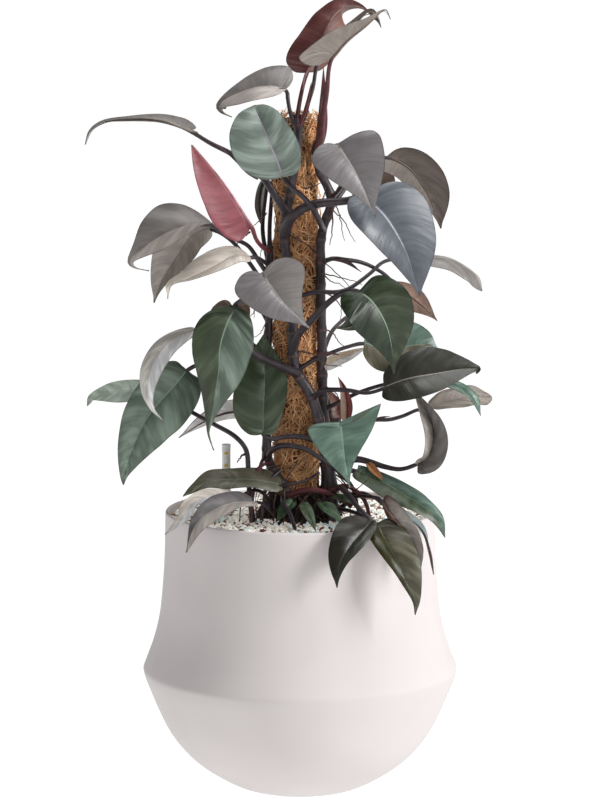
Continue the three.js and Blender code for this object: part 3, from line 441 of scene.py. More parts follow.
        rib=((-23, -51, 399), (-48, -55, 405), (-75, -60, 408), (-107, -66, 407), (-128, -71, 400),
             (-146, -77, 389)),
        left=Half(24, 6, 0, 0.55, 1.1), right=Half(21, 0, 0, 0.5, 1.1), face=(0, -0.4, 0.9), wave=2.5,
    ),
    Leaf(
        "low_2", "leaf_grey", Paint((Tint.PEARL, Tint.CHALK), (Tint.ASH,), Tint.SILVER, 0.7),
        stalk=((-30, -26, 352), (-46, -48, 388), (-60, -67, 395)), radii=(2.6, 2),
        rib=((-78, -88, 391), (-102, -98, 394), (-120, -106, 392), (-136, -112, 384), (-145, -117, 369),
             (-167, -120, 348)),
        left=Half(13, 10, 0, 0.4, 1.2), right=Half(13, 0, 0, 0.4, 1.2),
        face=(0, -0.3, 0.95), face_tip=(0.3, -0.3, 0.9), arch=1, wave=1.5,
    ),
    Leaf(
        "low_3", "leaf_grey", Paint((Tint.STEEL, Tint.SILVER), (Tint.SLATE,), Tint.STONE, 0.8),
        stalk=((-26, -24, 345), (-36, -46, 364), (-47, -76, 380)), radii=(2.4, 1.9),
        rib=((-59, -116, 389), (-80, -132, 390), (-96, -144, 387), (-113, -152, 380), (-126, -158, 370),
             (-134, -162, 354), (-139, -165, 334)),
        left=Half(24, 4, 0.03, 0.25, 0.7), right=Half(24, 18, 0, 0.5, 1.2),
        face=(-0.2, -0.6, 0.75), wave=1.5,
    ),
    Leaf(
        "low_4", "leaf_grey", Paint((Tint.SOOT, Tint.CHARCOAL), (Tint.UMBER,), Tint.TAUPE, 0.5),
        stalk=((41, -39, 388), (50, -75, 400), (60, -103, 395), (70, -129, 386)), radii=(4.6, 2.6),
        rib=((87, -154, 371), (74, -172, 359), (61, -186, 346), (51, -195, 332), (46, -200, 316),
             (45, -204, 298)),
        left=Half(30, 10, 0, 0.3), right=Half(16, 14, 0, 0.35),
        face=(-0.3, -0.8, 0.5), face_tip=(-0.1, -0.97, 0.1),
    ),
    Leaf(
        "low_5", "leaf_green", Paint((Tint.DARK_OLIVE, Tint.OLIVE), (Tint.BRONZE,), Tint.DRAB, 0.9),
        stalk=((41, -37, 366), (58, -68, 370), (78, -106, 369)),
        rib=((94, -139, 366), (103, -162, 352), (113, -176, 336), (123, -185, 319), (132, -189, 298),
             (139, -191, 278), (140, -192, 262)),
        left=Half(19, 10, 0, 0.12, 0.9), right=Half(29, 8, 0, 0.4, 1.1),
        face=(0.1, -0.8, 0.55), face_tip=(0.2, -0.97, 0.1), wave=1,
    ),
    Leaf(
        "low_6", "leaf_bronze", Paint((Tint.OLIVE,), (Tint.SILVER, Tint.CLAY), Tint.BLUSH, 0.9),
        stalk=((38, -14, 345), (66, -62, 384), (86, -108, 394)), radii=(2.8, 2.2),
        rib=((102, -132, 394), (115, -143, 376), (131, -152, 357), (143, -156, 337), (148, -158, 309)),
        left=Half(22, 8, 0, 0.35), face=(0.45, 0.55, 0.6), face_tip=(0.7, 0.6, 0.1), dark_and_shaded_base=Tint.MAROON,
    ),
    Leaf(
        "low_7", "leaf_bronze", Paint((Tint.BLUE_GREY,), (Tint.BRONZE,), Tint.STONE, 0.5),
        stalk=((40, -4, 345), (68, -50, 388), (92, -98, 391)), radii=(2.6, 2),
        rib=((104, -114, 387), (121, -119, 379), (138, -123, 369), (152, -126, 354), (159, -129, 331),
             (165, -131, 300)),
        left=Half(11, 4, 0, 0.4, 1.1), right=Half(11, 10, 0, 0.5, 1.1),
        face=(0.3, -0.4, 0.87), face_tip=(0.75, 0.5, 0.3), arch=1,
    ),
    Leaf(
        "low_8", "leaf_green", Paint((Tint.MOSS, Tint.SEA_GREEN), (Tint.OLIVE,), Tint.PALE_FERN, 0.8),
        stalk=((-40, -24, 428), (-36, -42, 441), (-24, -51, 449), (-8, -54, 449), (8, -56, 445),
               (22, -59, 437),
               (38, -60, 426), (54, -61, 421)),
        radii=(3.8, 2.8),
        rib=((71, -62, 420), (93, -71, 412), (112, -80, 403), (130, -88, 393), (149, -94, 382),
             (167, -98, 367), (180, -100, 341)),
        left=Half(24, 2, 0, 0.35), right=Half(15, 10, 0, 0.6, 1.5),
        face=(0.1, -0.5, 0.85), face_tip=(0.55, -0.75, 0.3), wave=1.5,
    ),
    Leaf(
        "base_1", "leaf_green", Paint((Tint.LEAF_GREEN,), (Tint.BRONZE,), Tint.PALE_SAGE, 0.5),
        stalk=((-10, -38, 360), (-9, -50, 379)), radii=(2.2, 1.7),
        rib=((-9, -60, 379), (-19, -68, 372), (-29, -73, 356)),
        left=Half(9, 8, 0.05, 0.35), face=(-0.3, -0.8, 0.5), arch=1,
    ),
    Leaf(
        "base_2", "leaf_green", Paint((Tint.MOSS, Tint.FERN), (Tint.BRONZE,), Tint.PALE_SAGE, 0.5),
        stalk=((2, -40, 355), (3, -66, 380)), radii=(2.2, 1.7),
        rib=((4, -92, 382), (10, -122, 375), (20, -145, 356)),
        left=Half(8, 8, 0.03, 0.4), face=(0, -0.5, 0.85), arch=1,
    ),
    Leaf(
        "base_3", "leaf_green", Paint((Tint.LEAF_GREEN, Tint.FERN), (Tint.BRONZE,), Tint.PALE_SAGE, 0.5),
        stalk=((14, -36, 355), (22, -64, 382)), radii=(2.2, 1.7),
        rib=((26, -92, 383), (38, -118, 378), (55, -136, 362)),
        left=Half(9, 8, 0.03, 0.4), face=(0.1, -0.5, 0.85), arch=1,
    ),
    Leaf(
        "base_4", "leaf_green", Paint((Tint.PINE, Tint.LEAF_GREEN), (Tint.BRONZE,), Tint.FERN, 0.5),
        stalk=((24, -32, 355), (34, -56, 382)), radii=(2.2, 1.7),
        rib=((41, -78, 389), (56, -92, 389), (72, -102, 381)),
        left=Half(8, 8, 0.03, 0.4), face=(0.1, -0.5, 0.85), arch=1,
    ),
    Leaf(
        "back_1", "leaf_green", Paint((Tint.PINE,), (Tint.UMBER,), Tint.FERN, 0.5),
        stalk=((-39, -18, 672), (-47, 2, 716)),
        rib=((-43, 18, 780), (-49, 32, 766), (-51, 48, 740), (-45, 60, 705)),
        left=Half(30, 8, 0.1, 0.2), right=Half(12, 8, 0.05, 0.3), face=(-0.9, 0.25, 0.35),
    ),
    Leaf(
        "back_2", "leaf_green", Paint((Tint.MOSS, Tint.FERN), (Tint.COCOA,), Tint.PALE_FERN, 0.6),
        stalk=((26, -24, 690), (34, 4, 732), (58, 44, 776)),
        rib=((80, 66, 786), (92, 84, 762), (101, 94, 728), (105, 98, 694)),
        left=Half(33, 8, 0.12, 0.2), face=(0.2, 0.85, 0.45),
    ),
    Leaf(
        "back_3", "leaf_green", Paint((Tint.FERN, Tint.MOSS), (Tint.COCOA,), Tint.PALE_FERN, 0.6),
        stalk=((-39, -13, 600), (-58, 24, 622), (-74, 50, 622)),
        rib=((-86, 64, 612), (-92, 78, 586), (-96, 86, 552), (-98, 86, 516)),
        left=Half(27, 8, 0.08, 0.2), face=(-0.2, 0.85, 0.45),
    ),
    Leaf(
        "back_4", "leaf_green", Paint((Tint.LEAF_GREEN, Tint.PINE), (Tint.MOSS,), Tint.PALE_SAGE, 0.5),
        stalk=((28, -13, 560), (44, 30, 588), (70, 52, 604)),
        rib=((90, 66, 600), (78, 76, 592), (63, 80, 584), (46, 76, 582)),
        left=Half(14, 10, 0.08, 0.3), right=Half(22, 10, 0.08, 0.3), face=(0.1, 0.75, 0.65),
    ),
    Leaf(
        "back_5", "leaf_green", Paint((Tint.PINE, Tint.MOSS), (Tint.RUST, Tint.CLAY), Tint.PALE_SAGE, 0.5),
        stalk=((33, -4, 405), (38, 26, 440)), radii=(2.8, 2),
        rib=((42, 40, 468), (41, 48, 482), (37, 54, 496), (30, 58, 508)),
        left=Half(14, 8, 0.08, 0.3, 1.2), face=(0.1, 0.9, 0.3),
    ),
    Leaf(
        "back_6", "leaf_green", Paint((Tint.FERN,), (Tint.COCOA,), Tint.PALE_FERN, 0.6),
        stalk=((-38, -19, 694), (-38, -9, 722), (-35, 7, 768), (-35, 34, 824)), radii=(2.8, 2),
        rib=((-46, 56, 852), (-50, 74, 842), (-54, 88, 816), (-56, 94, 794)),
        left=Half(23, 8, 0.08, 0.2), face=(-0.1, 0.8, 0.55),
    ),
)


def linear(code: str) -> tuple[float, float, float, float]:
    """Turns an sRGB hex colour into the linear one that a shader takes.

    Args:
        code: the colour, such as "#8a6f62".

    Returns:
        Red, green, blue and an alpha of 1.
    """
    parts = [int(code[at : at + 2], 16) / 255 for at in (1, 3, 5)]
    red, green, blue = (p / 12.92 if p <= 0.04045 else ((p + 0.055) / 1.055) ** 2.4 for p in parts)
    return red, green, blue, 1.0


def unit(vector: Array) -> Array:
    """Scales vectors to a length of one."""
    return vector / np.maximum(np.linalg.norm(vector, axis=-1, keepdims=True), 1e-12)


def smooth_line(points: Sequence[Sequence[float]], steps: int = CURVE_STEPS) -> Array:
    """Draws a centripetal curve through points.

    Args:
        points: the points that it passes through.
        steps: how many steps lie between two of them.

    Returns:
        Its points, one row each.
    """
    given = np.asarray(points, float)
    if len(given) == 2:
        return given[0] + (given[1] - given[0]) * np.linspace(0, 1, 2 * steps)[:, None]
    ends = np.vstack([2 * given[0] - given[1], given, 2 * given[-1] - given[-2]])
    drawn = []
    for first in range(len(ends) - 3):
        a, b, c, d = ends[first : first + 4]
        t1 = max(np.linalg.norm(b - a) ** 0.5, 1e-6)
        t2 = t1 + max(np.linalg.norm(c - b) ** 0.5, 1e-6)
        t3 = t2 + max(np.linalg.norm(d - c) ** 0.5, 1e-6)
        last = first == len(ends) - 4
        t = np.linspace(t1, t2, steps + last, endpoint=last)[:, None]
        ab = (t1 - t) / t1 * a + t / t1 * b
        bc = (t2 - t) / (t2 - t1) * b + (t - t1) / (t2 - t1) * c
        cd = (t3 - t) / (t3 - t2) * c + (t - t2) / (t3 - t2) * d
        abc = (t2 - t) / t2 * ab + t / t2 * bc
        bcd = (t3 - t) / (t3 - t1) * bc + (t - t1) / (t3 - t1) * cd
        drawn.append((t2 - t) / (t2 - t1) * abc + (t - t1) / (t2 - t1) * bcd)
    return np.vstack(drawn)


def smooth_section(section: Section, steps: int) -> Array:
    """Draws a smooth section through points of radius and height."""
    return smooth_line([(radius, height, 0) for radius, height in section], steps)[:, :2]


class Route:
    """A smooth way through given points, measured along its length."""

    def __init__(self, points: Sequence[Sequence[float]]) -> None:
        """Draws the curve and measures it."""
        self.line = smooth_line(points)
        steps = np.linalg.norm(np.diff(self.line, axis=0), axis=1)
        self.run = np.concatenate([[0.0], np.cumsum(steps)])
        self.length = float(self.run[-1])

    def at(self, share: Array) -> Array:
        """Gives the points at shares of the length, from 0 to 1."""
        run = np.clip(np.asarray(share, float), 0, 1) * self.length
        return np.stack([np.interp(run, self.run, self.line[:, axis]) for axis in range(3)], -1)

    def heading(self, share: Array) -> Array:
        """Gives the direction of travel at shares of the length."""
        share = np.asarray(share, float)
        return unit(self.at(share + 0.01) - self.at(share - 0.01))


def rest_selection() -> None:
    """Leaves edit mode and deselects everything."""
    if bpy.context.object and bpy.context.object.mode != "OBJECT":
        bpy.ops.object.mode_set(mode="OBJECT")
    bpy.ops.object.select_all(action="DESELECT")


def activate(*pieces: Piece) -> None:
    """Selects pieces and makes the first one active."""
    rest_selection()
    for piece in pieces:
        piece.select_set(True)
    bpy.context.view_layer.objects.active = pieces[0]


def put_points(piece: Piece, points: Array) -> None:
    """Moves a mesh's points to places given in millimetres."""
    piece.data.vertices.foreach_set("co", (np.asarray(points) * MM).astype(np.float32).ravel())
    piece.data.update()


def paint_points(piece: Piece, name: str, colors: Array) -> None:
    """Writes one linear colour with alpha on each point of a mesh, as a named attribute."""
    layer = piece.data.color_attributes.new(name=name, type="FLOAT_COLOR", domain="POINT")
    layer.data.foreach_set("color", np.asarray(colors, np.float32).ravel())


def merge_doubles(piece: Piece, distance: float = 0.00001, outwards: bool = True) -> None:
    """Merges points that lie on each other, and turns the faces outwards if asked."""
    activate(piece)
    bpy.ops.object.mode_set(mode="EDIT")
    bpy.ops.mesh.select_all(action="SELECT")
    bpy.ops.mesh.remove_doubles(threshold=distance)
    if outwards:
        bpy.ops.mesh.normals_make_consistent(inside=False)
    bpy.ops.object.mode_set(mode="OBJECT")


def shade_smooth(piece: Piece, angle: float) -> None:
    """Shades a piece smoothly up to an angle in degrees."""
    activate(piece)
    bpy.ops.object.shade_smooth_by_angle(angle=math.radians(angle))


def wear(piece: Piece, *materials: Material) -> None:
    """Gives a piece its materials, in slot order."""
    piece.data.materials.clear()
    for material in materials:
        piece.data.materials.append(material)


def dress(piece: Piece, angle: float, *materials: Material) -> None:
    """Shades a piece smoothly up to an angle in degrees and gives it its materials."""
    shade_smooth(piece, angle)
    wear(piece, *materials)


def add_object(name: str, data: bpy.types.ID) -> Piece:
    """Adds an object to the scene."""
    piece = bpy.data.objects.new(name, data)
    bpy.context.scene.collection.objects.link(piece)
    return piece


def join(name: str, pieces: list[Piece]) -> Piece:
    """Joins meshes into one.

    Args:
        name: the joined piece's name.
        pieces: the meshes, the one that gives its slots first.

    Returns:
        The joined piece.
    """
    activate(*pieces)
    if len(pieces) > 1:
        bpy.ops.object.join()
    piece = bpy.context.object
    piece.name = name
    piece.data.name = name
    return piece


def grid(name: str, columns: int, rows: int) -> tuple[Piece, Array, Array]:
    """Adds a grid to be shaped.

    Args:
        name: its name.
        columns: faces along X.
        rows: faces along Y.

    Returns:
        The grid, and where each of its points is along X and Y, from 0 to 1.
    """
    rest_selection()
    bpy.ops.mesh.primitive_grid_add(x_subdivisions=columns, y_subdivisions=rows, size=2, calc_uvs=True)
    piece = bpy.context.object
    piece.name = name
    points = np.zeros(len(piece.data.vertices) * 3, np.float32)
    piece.data.vertices.foreach_get("co", points)
    points = points.reshape(-1, 3)
    return piece, (points[:, 0] + 1) / 2, (points[:, 1] + 1) / 2


def rolled(name: str, turns: int, rows: int) -> tuple[Piece, Array, Array]:
    """Adds a grid to be rolled up.

    Args:
        name: its name.
        turns: faces around it.
        rows: faces along it.

    Returns:
        The grid, and the row and the angle of each of its points.
    """
    piece, around, along = grid(name, turns, rows)
    return piece, np.rint(along * rows).astype(int), np.rint(around * turns) * math.tau / turns


def upright(
    reach: Array, angle: Array, height: Array, centre: Span = (0, 0)
) -> Array:
    """Turns distances from an upright axis, angles around it and heights into points."""
    return np.stack([centre[0] + reach * np.cos(angle), centre[1] + reach * np.sin(angle), height], -1)


def steady_frames(line: Array) -> tuple[Array, Array]:
    """Finds two directions across a line that turn as little as possible along it.

    Args:
        line: points of the line.

    Returns:
        The two directions at each point, each square to the line and to the other.
    """
    heading = unit(np.gradient(line, axis=0))
    start = np.array([0.0, 0.0, 1.0]) if abs(heading[0, 2]) < 0.8 else np.array([0.0, -1.0, 0.0])
    across = []
    for step in heading:
        start = unit(start - step * start.dot(step))
        across.append(start)
    across = np.array(across)
    return across, np.cross(heading, across)


def tube(name: str, line: Array, radii: Array, sides: int = 12) -> Piece:
    """Rolls a grid into a closed tube.

    Args:
        name: its name.
        line: its centre points in millimetres.
        radii: its radius at each of them.
        sides: faces around it.

    Returns:
        The tube, with the share of its length in a "run" attribute on its points.
    """
    line = np.vstack([line[:1], line, line[-1:]])
    radii = np.concatenate([[0.0], radii, [0.0]])
    rows = len(line) - 1
    piece, row, angle = rolled(name, sides, rows)
    first, second = (np.vstack([way[:1], way, way[-1:]]) for way in steady_frames(line[1:-1]))
    reach = radii[row][:, None]
    out = first[row] * np.cos(angle)[:, None] + second[row] * np.sin(angle)[:, None]
    put_points(piece, line[row] + out * reach)
    run = piece.data.attributes.new("run", "FLOAT", "POINT")
    run.data.foreach_set("value", (row / rows).astype(np.float32))
    merge_doubles(piece, 0.000002, outwards=False)
    return piece


def run_of(piece: Piece) -> Array:
    """Reads back the share of the length at each point of a tube."""
    values = np.zeros(len(piece.data.vertices), np.float32)
    piece.data.attributes["run"].data.foreach_get("value", values)
    return values


def strands(name: str, lines: Sequence[Array], radii: Sequence[Array]) -> Piece:
    """Draws many thin four-sided strands as one mesh.

    Args:
        name: its name.
        lines: the centre points of each strand in millimetres.
        radii: the radius at each of those points.

    Returns:
        The mesh. Its points follow the strands' order.
    """
    curve = bpy.data.curves.new(name, "CURVE")
    curve.dimensions = "3D"
    curve.bevel_depth = MM
    curve.bevel_resolution = 0
    curve.use_fill_caps = True
    for line, reach in zip(lines, radii):
        spline = curve.splines.new("POLY")
        spline.points.add(len(line) - 1)
        spline.points.foreach_set("co", np.hstack([line * MM, np.ones((len(line), 1))]).ravel())
        spline.points.foreach_set("radius", np.asarray(reach, float))
    activate(add_object(name, curve))
    bpy.ops.object.convert(target="MESH")
    return bpy.context.object


def keep(piece: Piece, slot: str, *nodes: str) -> None:
    """Hands a finished piece to the frame.

    Args:
        piece: the piece, in place.
        slot: the record's material slot that its finish belongs to. It is not used.
        nodes: the nodes that it stands for.
    """
    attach(piece, BODY)
    for node in nodes:
        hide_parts(node)
    log.info("%s: %d points", piece.name, len(piece.data.vertices))


# The span that holds nearly all of a noise pattern's values, and the span that holds most of them.
WIDE = (0.3, 0.7)
MOST = (0.35, 0.65)

WAX_IOR = 1.45
PLASTIC_IOR = 1.5


def feed(tree: bpy.types.NodeTree, socket: Socket, value: Value) -> None:
    """Links a socket to the output that feeds it, or sets a plain value or a hex colour on it."""
    if isinstance(value, Socket):
        tree.links.new(value, socket)
    else:
        socket.default_value = linear(value) if isinstance(value, str) else value


def add_node(
    tree: bpy.types.NodeTree, kind: str, inputs: Inputs | None = None, **settings: object
) -> bpy.types.Node:
    """Adds a shader node.

    Args:
        tree: the material's node tree.
        kind: the node's type, without the ShaderNode in front.
        inputs: for each socket, a value or the output that is linked to it.
        settings: the node's own settings.

    Returns:
        The node.
    """
    node = tree.nodes.new(f"ShaderNode{kind}")
    for name, setting in settings.items():
        setattr(node, name, setting)
    for socket, value in (inputs or {}).items():
        feed(tree, node.inputs[socket], value)
    return node


def per_metre(cell_mm: float) -> float:
    """Gives how many cells of a size in millimetres fit in a metre."""
    return 1 / (cell_mm * MM)


class Recipe:
    """A material in the making, with the steps that the finishes share.

    A pattern's scale is its number of cells per metre, in the object's own coordinates.
    """

    def __init__(self, name: str) -> None:
        """Starts a material with a plain surface."""
        self.material = bpy.data.materials.new(name)
        self.material.use_nodes = True
        self.tree = self.material.node_tree
        self.surface = self.tree.nodes["Principled BSDF"]
        self.place = self.add("TexCoord").outputs["Object"]

    def add(self, kind: str, inputs: Inputs | None = None, **settings: object) -> bpy.types.Node:
        """Adds a node to the material."""
        return add_node(self.tree, kind, inputs, **settings)

    def attribute(self, name: str, output: str = "Color") -> Socket:
        """Reads a named attribute of the mesh."""
        return self.add("Attribute", attribute_name=name).outputs[output]

    def calculate(self, operation: str, *values: Value) -> Socket:
        """Does one sum on up to three values."""
        return self.add("Math", dict(enumerate(values)), operation=operation).outputs[0]

    def stretch(self, place: Value, factors: Point) -> Socket:
        """Multiplies coordinates, so that a pattern in them is drawn out where a factor is small."""
        return self.add("VectorMath", {0: place, 1: factors}, operation="MULTIPLY").outputs[0]

    def noise(self, scale: float, detail: float, place: Value | None = None) -> Socket:
        """Draws a cloudy pattern, in other coordinates if they are given."""
        where = self.place if place is None else place
        return self.add("TexNoise", {"Vector": where, "Scale": scale, "Detail": detail}).outputs[0]

    def cells(self, scale: float, output: str) -> Socket:
        """Draws a pattern of cells and gives one of its outputs."""
        return self.add("TexVoronoi", {"Vector": self.place, "Scale": scale}).outputs[output]

    def remap(self, value: Value, span: Span, ends: Span = (0.0, 1.0), soft: bool = False) -> Socket:
        """Maps a value from one span to another.

        Args:
            value: the value.
            span: the span that it is taken from. Beyond it the nearer end holds.
            ends: what the span's two ends become.
            soft: whether it eases in and out.

        Returns:
            The mapped value.
        """
        inputs = {0: value, 1: span[0], 2: span[1], 3: ends[0], 4: ends[1]}
        ease = "SMOOTHSTEP" if soft else "LINEAR"
        return self.add("MapRange", inputs, interpolation_type=ease).outputs[0]

    def blend(self, share: Value, first: Value, second: Value) -> Socket:
        """Mixes two colours: the first where the share is 0, the second where it is 1."""
        return self.add("Mix", {0: share, 6: first, 7: second}, data_type="RGBA").outputs[2]

    def adjust(self, color: Value, value: Value = 1.0, saturation: float = 1.0) -> Socket:
        """Makes a colour brighter or darker, and stronger or duller."""
        inputs = {"Saturation": saturation, "Value": value, "Color": color}
        return self.add("HueSaturation", inputs).outputs[0]

    def bump(self, height: Value, strength: float, distance: float) -> None:
        """Roughens the surface by a pattern, up to a distance in metres."""
        inputs = {"Strength": strength, "Distance": distance, "Height": height}
        feed(self.tree, self.surface.inputs["Normal"], self.add("Bump", inputs).outputs[0])

    def finish(self, color: Value, **values: Value) -> Material:
        """Sets the surface's colour and other values, such as IOR=1.4, and gives the material."""
        for name, value in {"Base_Color": color, **values}.items():
            feed(self.tree, self.surface.inputs[name.replace("_", " ")], value)
        return self.material


class BladeSide(Enum):
    """The two skins of a blade, by the name of the attribute that holds their colour."""

    UPPER = "tint"
    UNDER = "belly"


@dataclass(frozen=True)
class BladeFinish:
    """Waxy leaf skin with a sunken midrib and veins that sweep out from it.

    The bands give each half its soft light and dark streaks, and the fine lines its silky look. Both
    are counted along one half. The pale streaks are partly the leaf's own pale bands between the veins
    and partly painted sheen. Deep and pale are the value and saturation of the streaks, next to the
    blade's own colour, and line_value and rim_value those of the fine lines and of the margin.
    """

    side: BladeSide
    roughness: float = 0.36
    roughness_play: Span = (-0.05, 0.07)
    bands: float = 15.0
    band_run: float = 1.7
    lines: float = 80.0
    line_run: float = 2.6
    line_lift: float = 0.25
    lift: float = 0.00045
    deep: Span = (0.6, 1.06)
    pale: Span = (1.5, 0.86)
    line_value: float = 0.84
    rim_value: float = 0.55
    blotches: float = 46.0
    blotch_values: Span = (0.93, 1.06)
    rib_reach: Span = (0.006, 0.02)
    rib_strength: float = 0.85
    rim_reach: Span = (0.478, 0.5)

    def material(self) -> Material:
        """Makes the skin's material."""
        skin = Recipe(f"leaf_skin_{self.side.name.lower()}")
        uv = skin.add("UVMap", uv_map="vein").outputs[0]
        across = skin.add("SeparateXYZ", {0: uv}).outputs["X"]
        out = skin.calculate("ABSOLUTE", skin.calculate("SUBTRACT", skin.calculate("FRACT", across), 0.5))
        band = skin.noise(1.0, 2.5, skin.stretch(uv, (self.band_run, self.bands, 1)))
        band = skin.remap(band, (0.38, 0.7), soft=True)
        line = skin.remap(skin.noise(1.0, 2.0, skin.stretch(uv, (self.line_run, self.lines, 1))), MOST)

        tint = skin.attribute(self.side.value)
        # Pale streaks: partly the leaf's own pale bands, partly painted sheen of white light.
        banded = skin.blend(band, skin.adjust(tint, *self.deep), skin.adjust(tint, *self.pale))
        streaked = skin.blend(skin.attribute(self.side.value, "Alpha"), tint, banded)
        lined = skin.blend(line, skin.adjust(streaked, self.line_value), streaked)
        blotch = skin.noise(self.blotches, 3.0)
        cloudy = skin.adjust(lined, skin.remap(blotch, WIDE, self.blotch_values))
        on_rib = skin.remap(out, self.rib_reach, (self.rib_strength, 0.0), soft=True)
        ribbed = skin.blend(on_rib, cloudy, skin.attribute("rib_tint"))
        on_rim = skin.remap(out, self.rim_reach, soft=True)
        edged = skin.blend(on_rim, ribbed, skin.adjust(ribbed, self.rim_value))

        skin.bump(skin.calculate("MULTIPLY_ADD", line, self.line_lift, band), 0.5, self.lift)
        least, most = (self.roughness + play for play in self.roughness_play)
        gloss = skin.remap(blotch, WIDE, (least, most))
        return skin.finish(edged, Roughness=gloss, IOR=WAX_IOR, Specular_IOR_Level=0.5)


@dataclass(frozen=True)
class StalkFinish:
    """Smooth waxy stalk skin, mottled dark over its own colour, as stalks and raised midribs are."""

    roughness: float = 0.36
    mottle_mm: float = 9.0
    mottle_values: Span = (0.72, 1.3)

    def material(self) -> Material:
        """Makes the stalk's material."""
        skin = Recipe("stalk_skin")
        mottle = skin.noise(per_metre(self.mottle_mm), 3.0)
        skin.bump(mottle, 0.3, 0.0004)
        color = skin.adjust(skin.attribute("belly"), skin.remap(mottle, MOST, self.mottle_values))
        return skin.finish(color, Roughness=self.roughness, IOR=WAX_IOR)


@dataclass(frozen=True)
class StemFinish:
    """Old climbing stem: dark, waxy, ringed by leaf scars and specked with pale corky dots."""

    base: str = "#2a2428"
    worn: str = "#4a4046"
    speck: str = "#8a7a70"
    scar: str = "#6b4a44"
    patches: float = 130.0
    patch_run: float = 0.35
    dots: float = 420.0
    dot_strength: float = 0.45
    roughness: float = 0.42

    def material(self) -> Material:
        """Makes the stem's material."""
        bark = Recipe("stem_skin")
        patch = bark.noise(self.patches, 4.0, bark.stretch(bark.place, (1, 1, self.patch_run)))
        color = bark.blend(bark.remap(patch, (0.42, 0.7)), self.base, self.worn)
        dot = bark.remap(bark.cells(self.dots, "Distance"), (0.1, 0.2), (self.dot_strength, 0.0))
        dotted = bark.blend(dot, color, self.speck)
        ringed = bark.blend(bark.attribute("ring", "Fac"), dotted, self.scar)
        bark.bump(patch, 0.5, 0.0006)
        return bark.finish(ringed, Roughness=self.roughness, IOR=WAX_IOR)


@dataclass(frozen=True)
class RootFinish:
    """Dry aerial root: thin dull brown skin, paler in patches where the cork has flaked."""

    dark: str = "#33241f"
    pale: str = "#6d5145"
    flakes: float = 180.0
    roughness: float = 0.7

    def material(self) -> Material:
        """Makes the root's material."""
        skin = Recipe("aerial_root_skin")
        flake = skin.remap(skin.noise(self.flakes, 3.0), (0.4, 0.66))
        return skin.finish(skin.blend(flake, self.dark, self.pale), Roughness=self.roughness)


@dataclass(frozen=True)
class PotFinish:
    """Fibre clay with a matt white lacquer: even, very slightly cloudy, with a fine eggshell grain."""

    paint: str = "#dad3d2"
    shade: str = "#d5cecd"
    grain_mm: float = 1.6
    cloud_mm: float = 120.0
    roughness: float = 0.62

    def material(self) -> Material:
        """Makes the pot's material."""
        lacquer = Recipe("lacquered_fibre_clay")
        cloud = lacquer.remap(lacquer.noise(per_metre(self.cloud_mm), 2.0), MOST)
        lacquer.bump(lacquer.noise(per_metre(self.grain_mm), 2.0), 0.12, 0.0003)
        color = lacquer.blend(cloud, self.shade, self.paint)
        return lacquer.finish(color, Roughness=self.roughness, IOR=PLASTIC_IOR)


@dataclass(frozen=True)
class GravelFinish:
    """Crushed mineral top dressing: each dusty grain has its own cream, blue-grey or brown tone.

    The grains glow faintly in their own colour: painted light that brightens them in the shade of the
    leaves.
    """

    dust: float = 700.0
    dust_values: Span = (0.9, 1.08)
    bed_cells: float = 240.0
    bed_gap: str = "#94816f"
    bed_grain: str = "#e0d5c4"
    roughness: float = 0.75
    painted_glow: float = 0.22

    def material(self) -> Material:
        """Makes the grains' material."""
        mineral = Recipe("crushed_mineral")
        dust = mineral.noise(self.dust, 3.0)
        mineral.bump(dust, 0.4, 0.0003)
        color = mineral.adjust(mineral.attribute("tone"), mineral.remap(dust, WIDE, self.dust_values))
        # Painted light: the grains glow in their own colour.
        return mineral.finish(
            color, Emission_Color=color, Roughness=self.roughness, Emission_Strength=self.painted_glow
        )

    def bed(self) -> Material:
        """Makes the material of the filling between and under the grains: the same grains, drawn small."""
        mineral = Recipe("mineral_bed")
        own = mineral.cells(self.bed_cells, "Color")
        tone = mineral.remap(mineral.add("SeparateXYZ", {0: own}).outputs[0], (0.2, 0.8))
        mineral.bump(mineral.cells(self.bed_cells, "Distance"), 0.8, 0.001)
        color = mineral.blend(tone, self.bed_gap, self.bed_grain)
        return mineral.finish(color, Roughness=self.roughness)


@dataclass(frozen=True)
class PeatFinish:
    """Damp black potting peat: crumbly, almost black, with a few rusty fibres in it."""

    dark: str = "#15100d"
    crumb: str = "#3a2a20"
    crumb_mm: float = 3.0
    roughness: float = 0.85

    def material(self) -> Material:
        """Makes the peat's material."""
        peat = Recipe("potting_peat")
        crumb = peat.noise(per_metre(self.crumb_mm), 4.0)
        peat.bump(crumb, 0.9, 0.002)
        color = peat.blend(peat.remap(crumb, (0.46, 0.7)), self.dark, self.crumb)
        return peat.finish(color, Roughness=self.roughness)


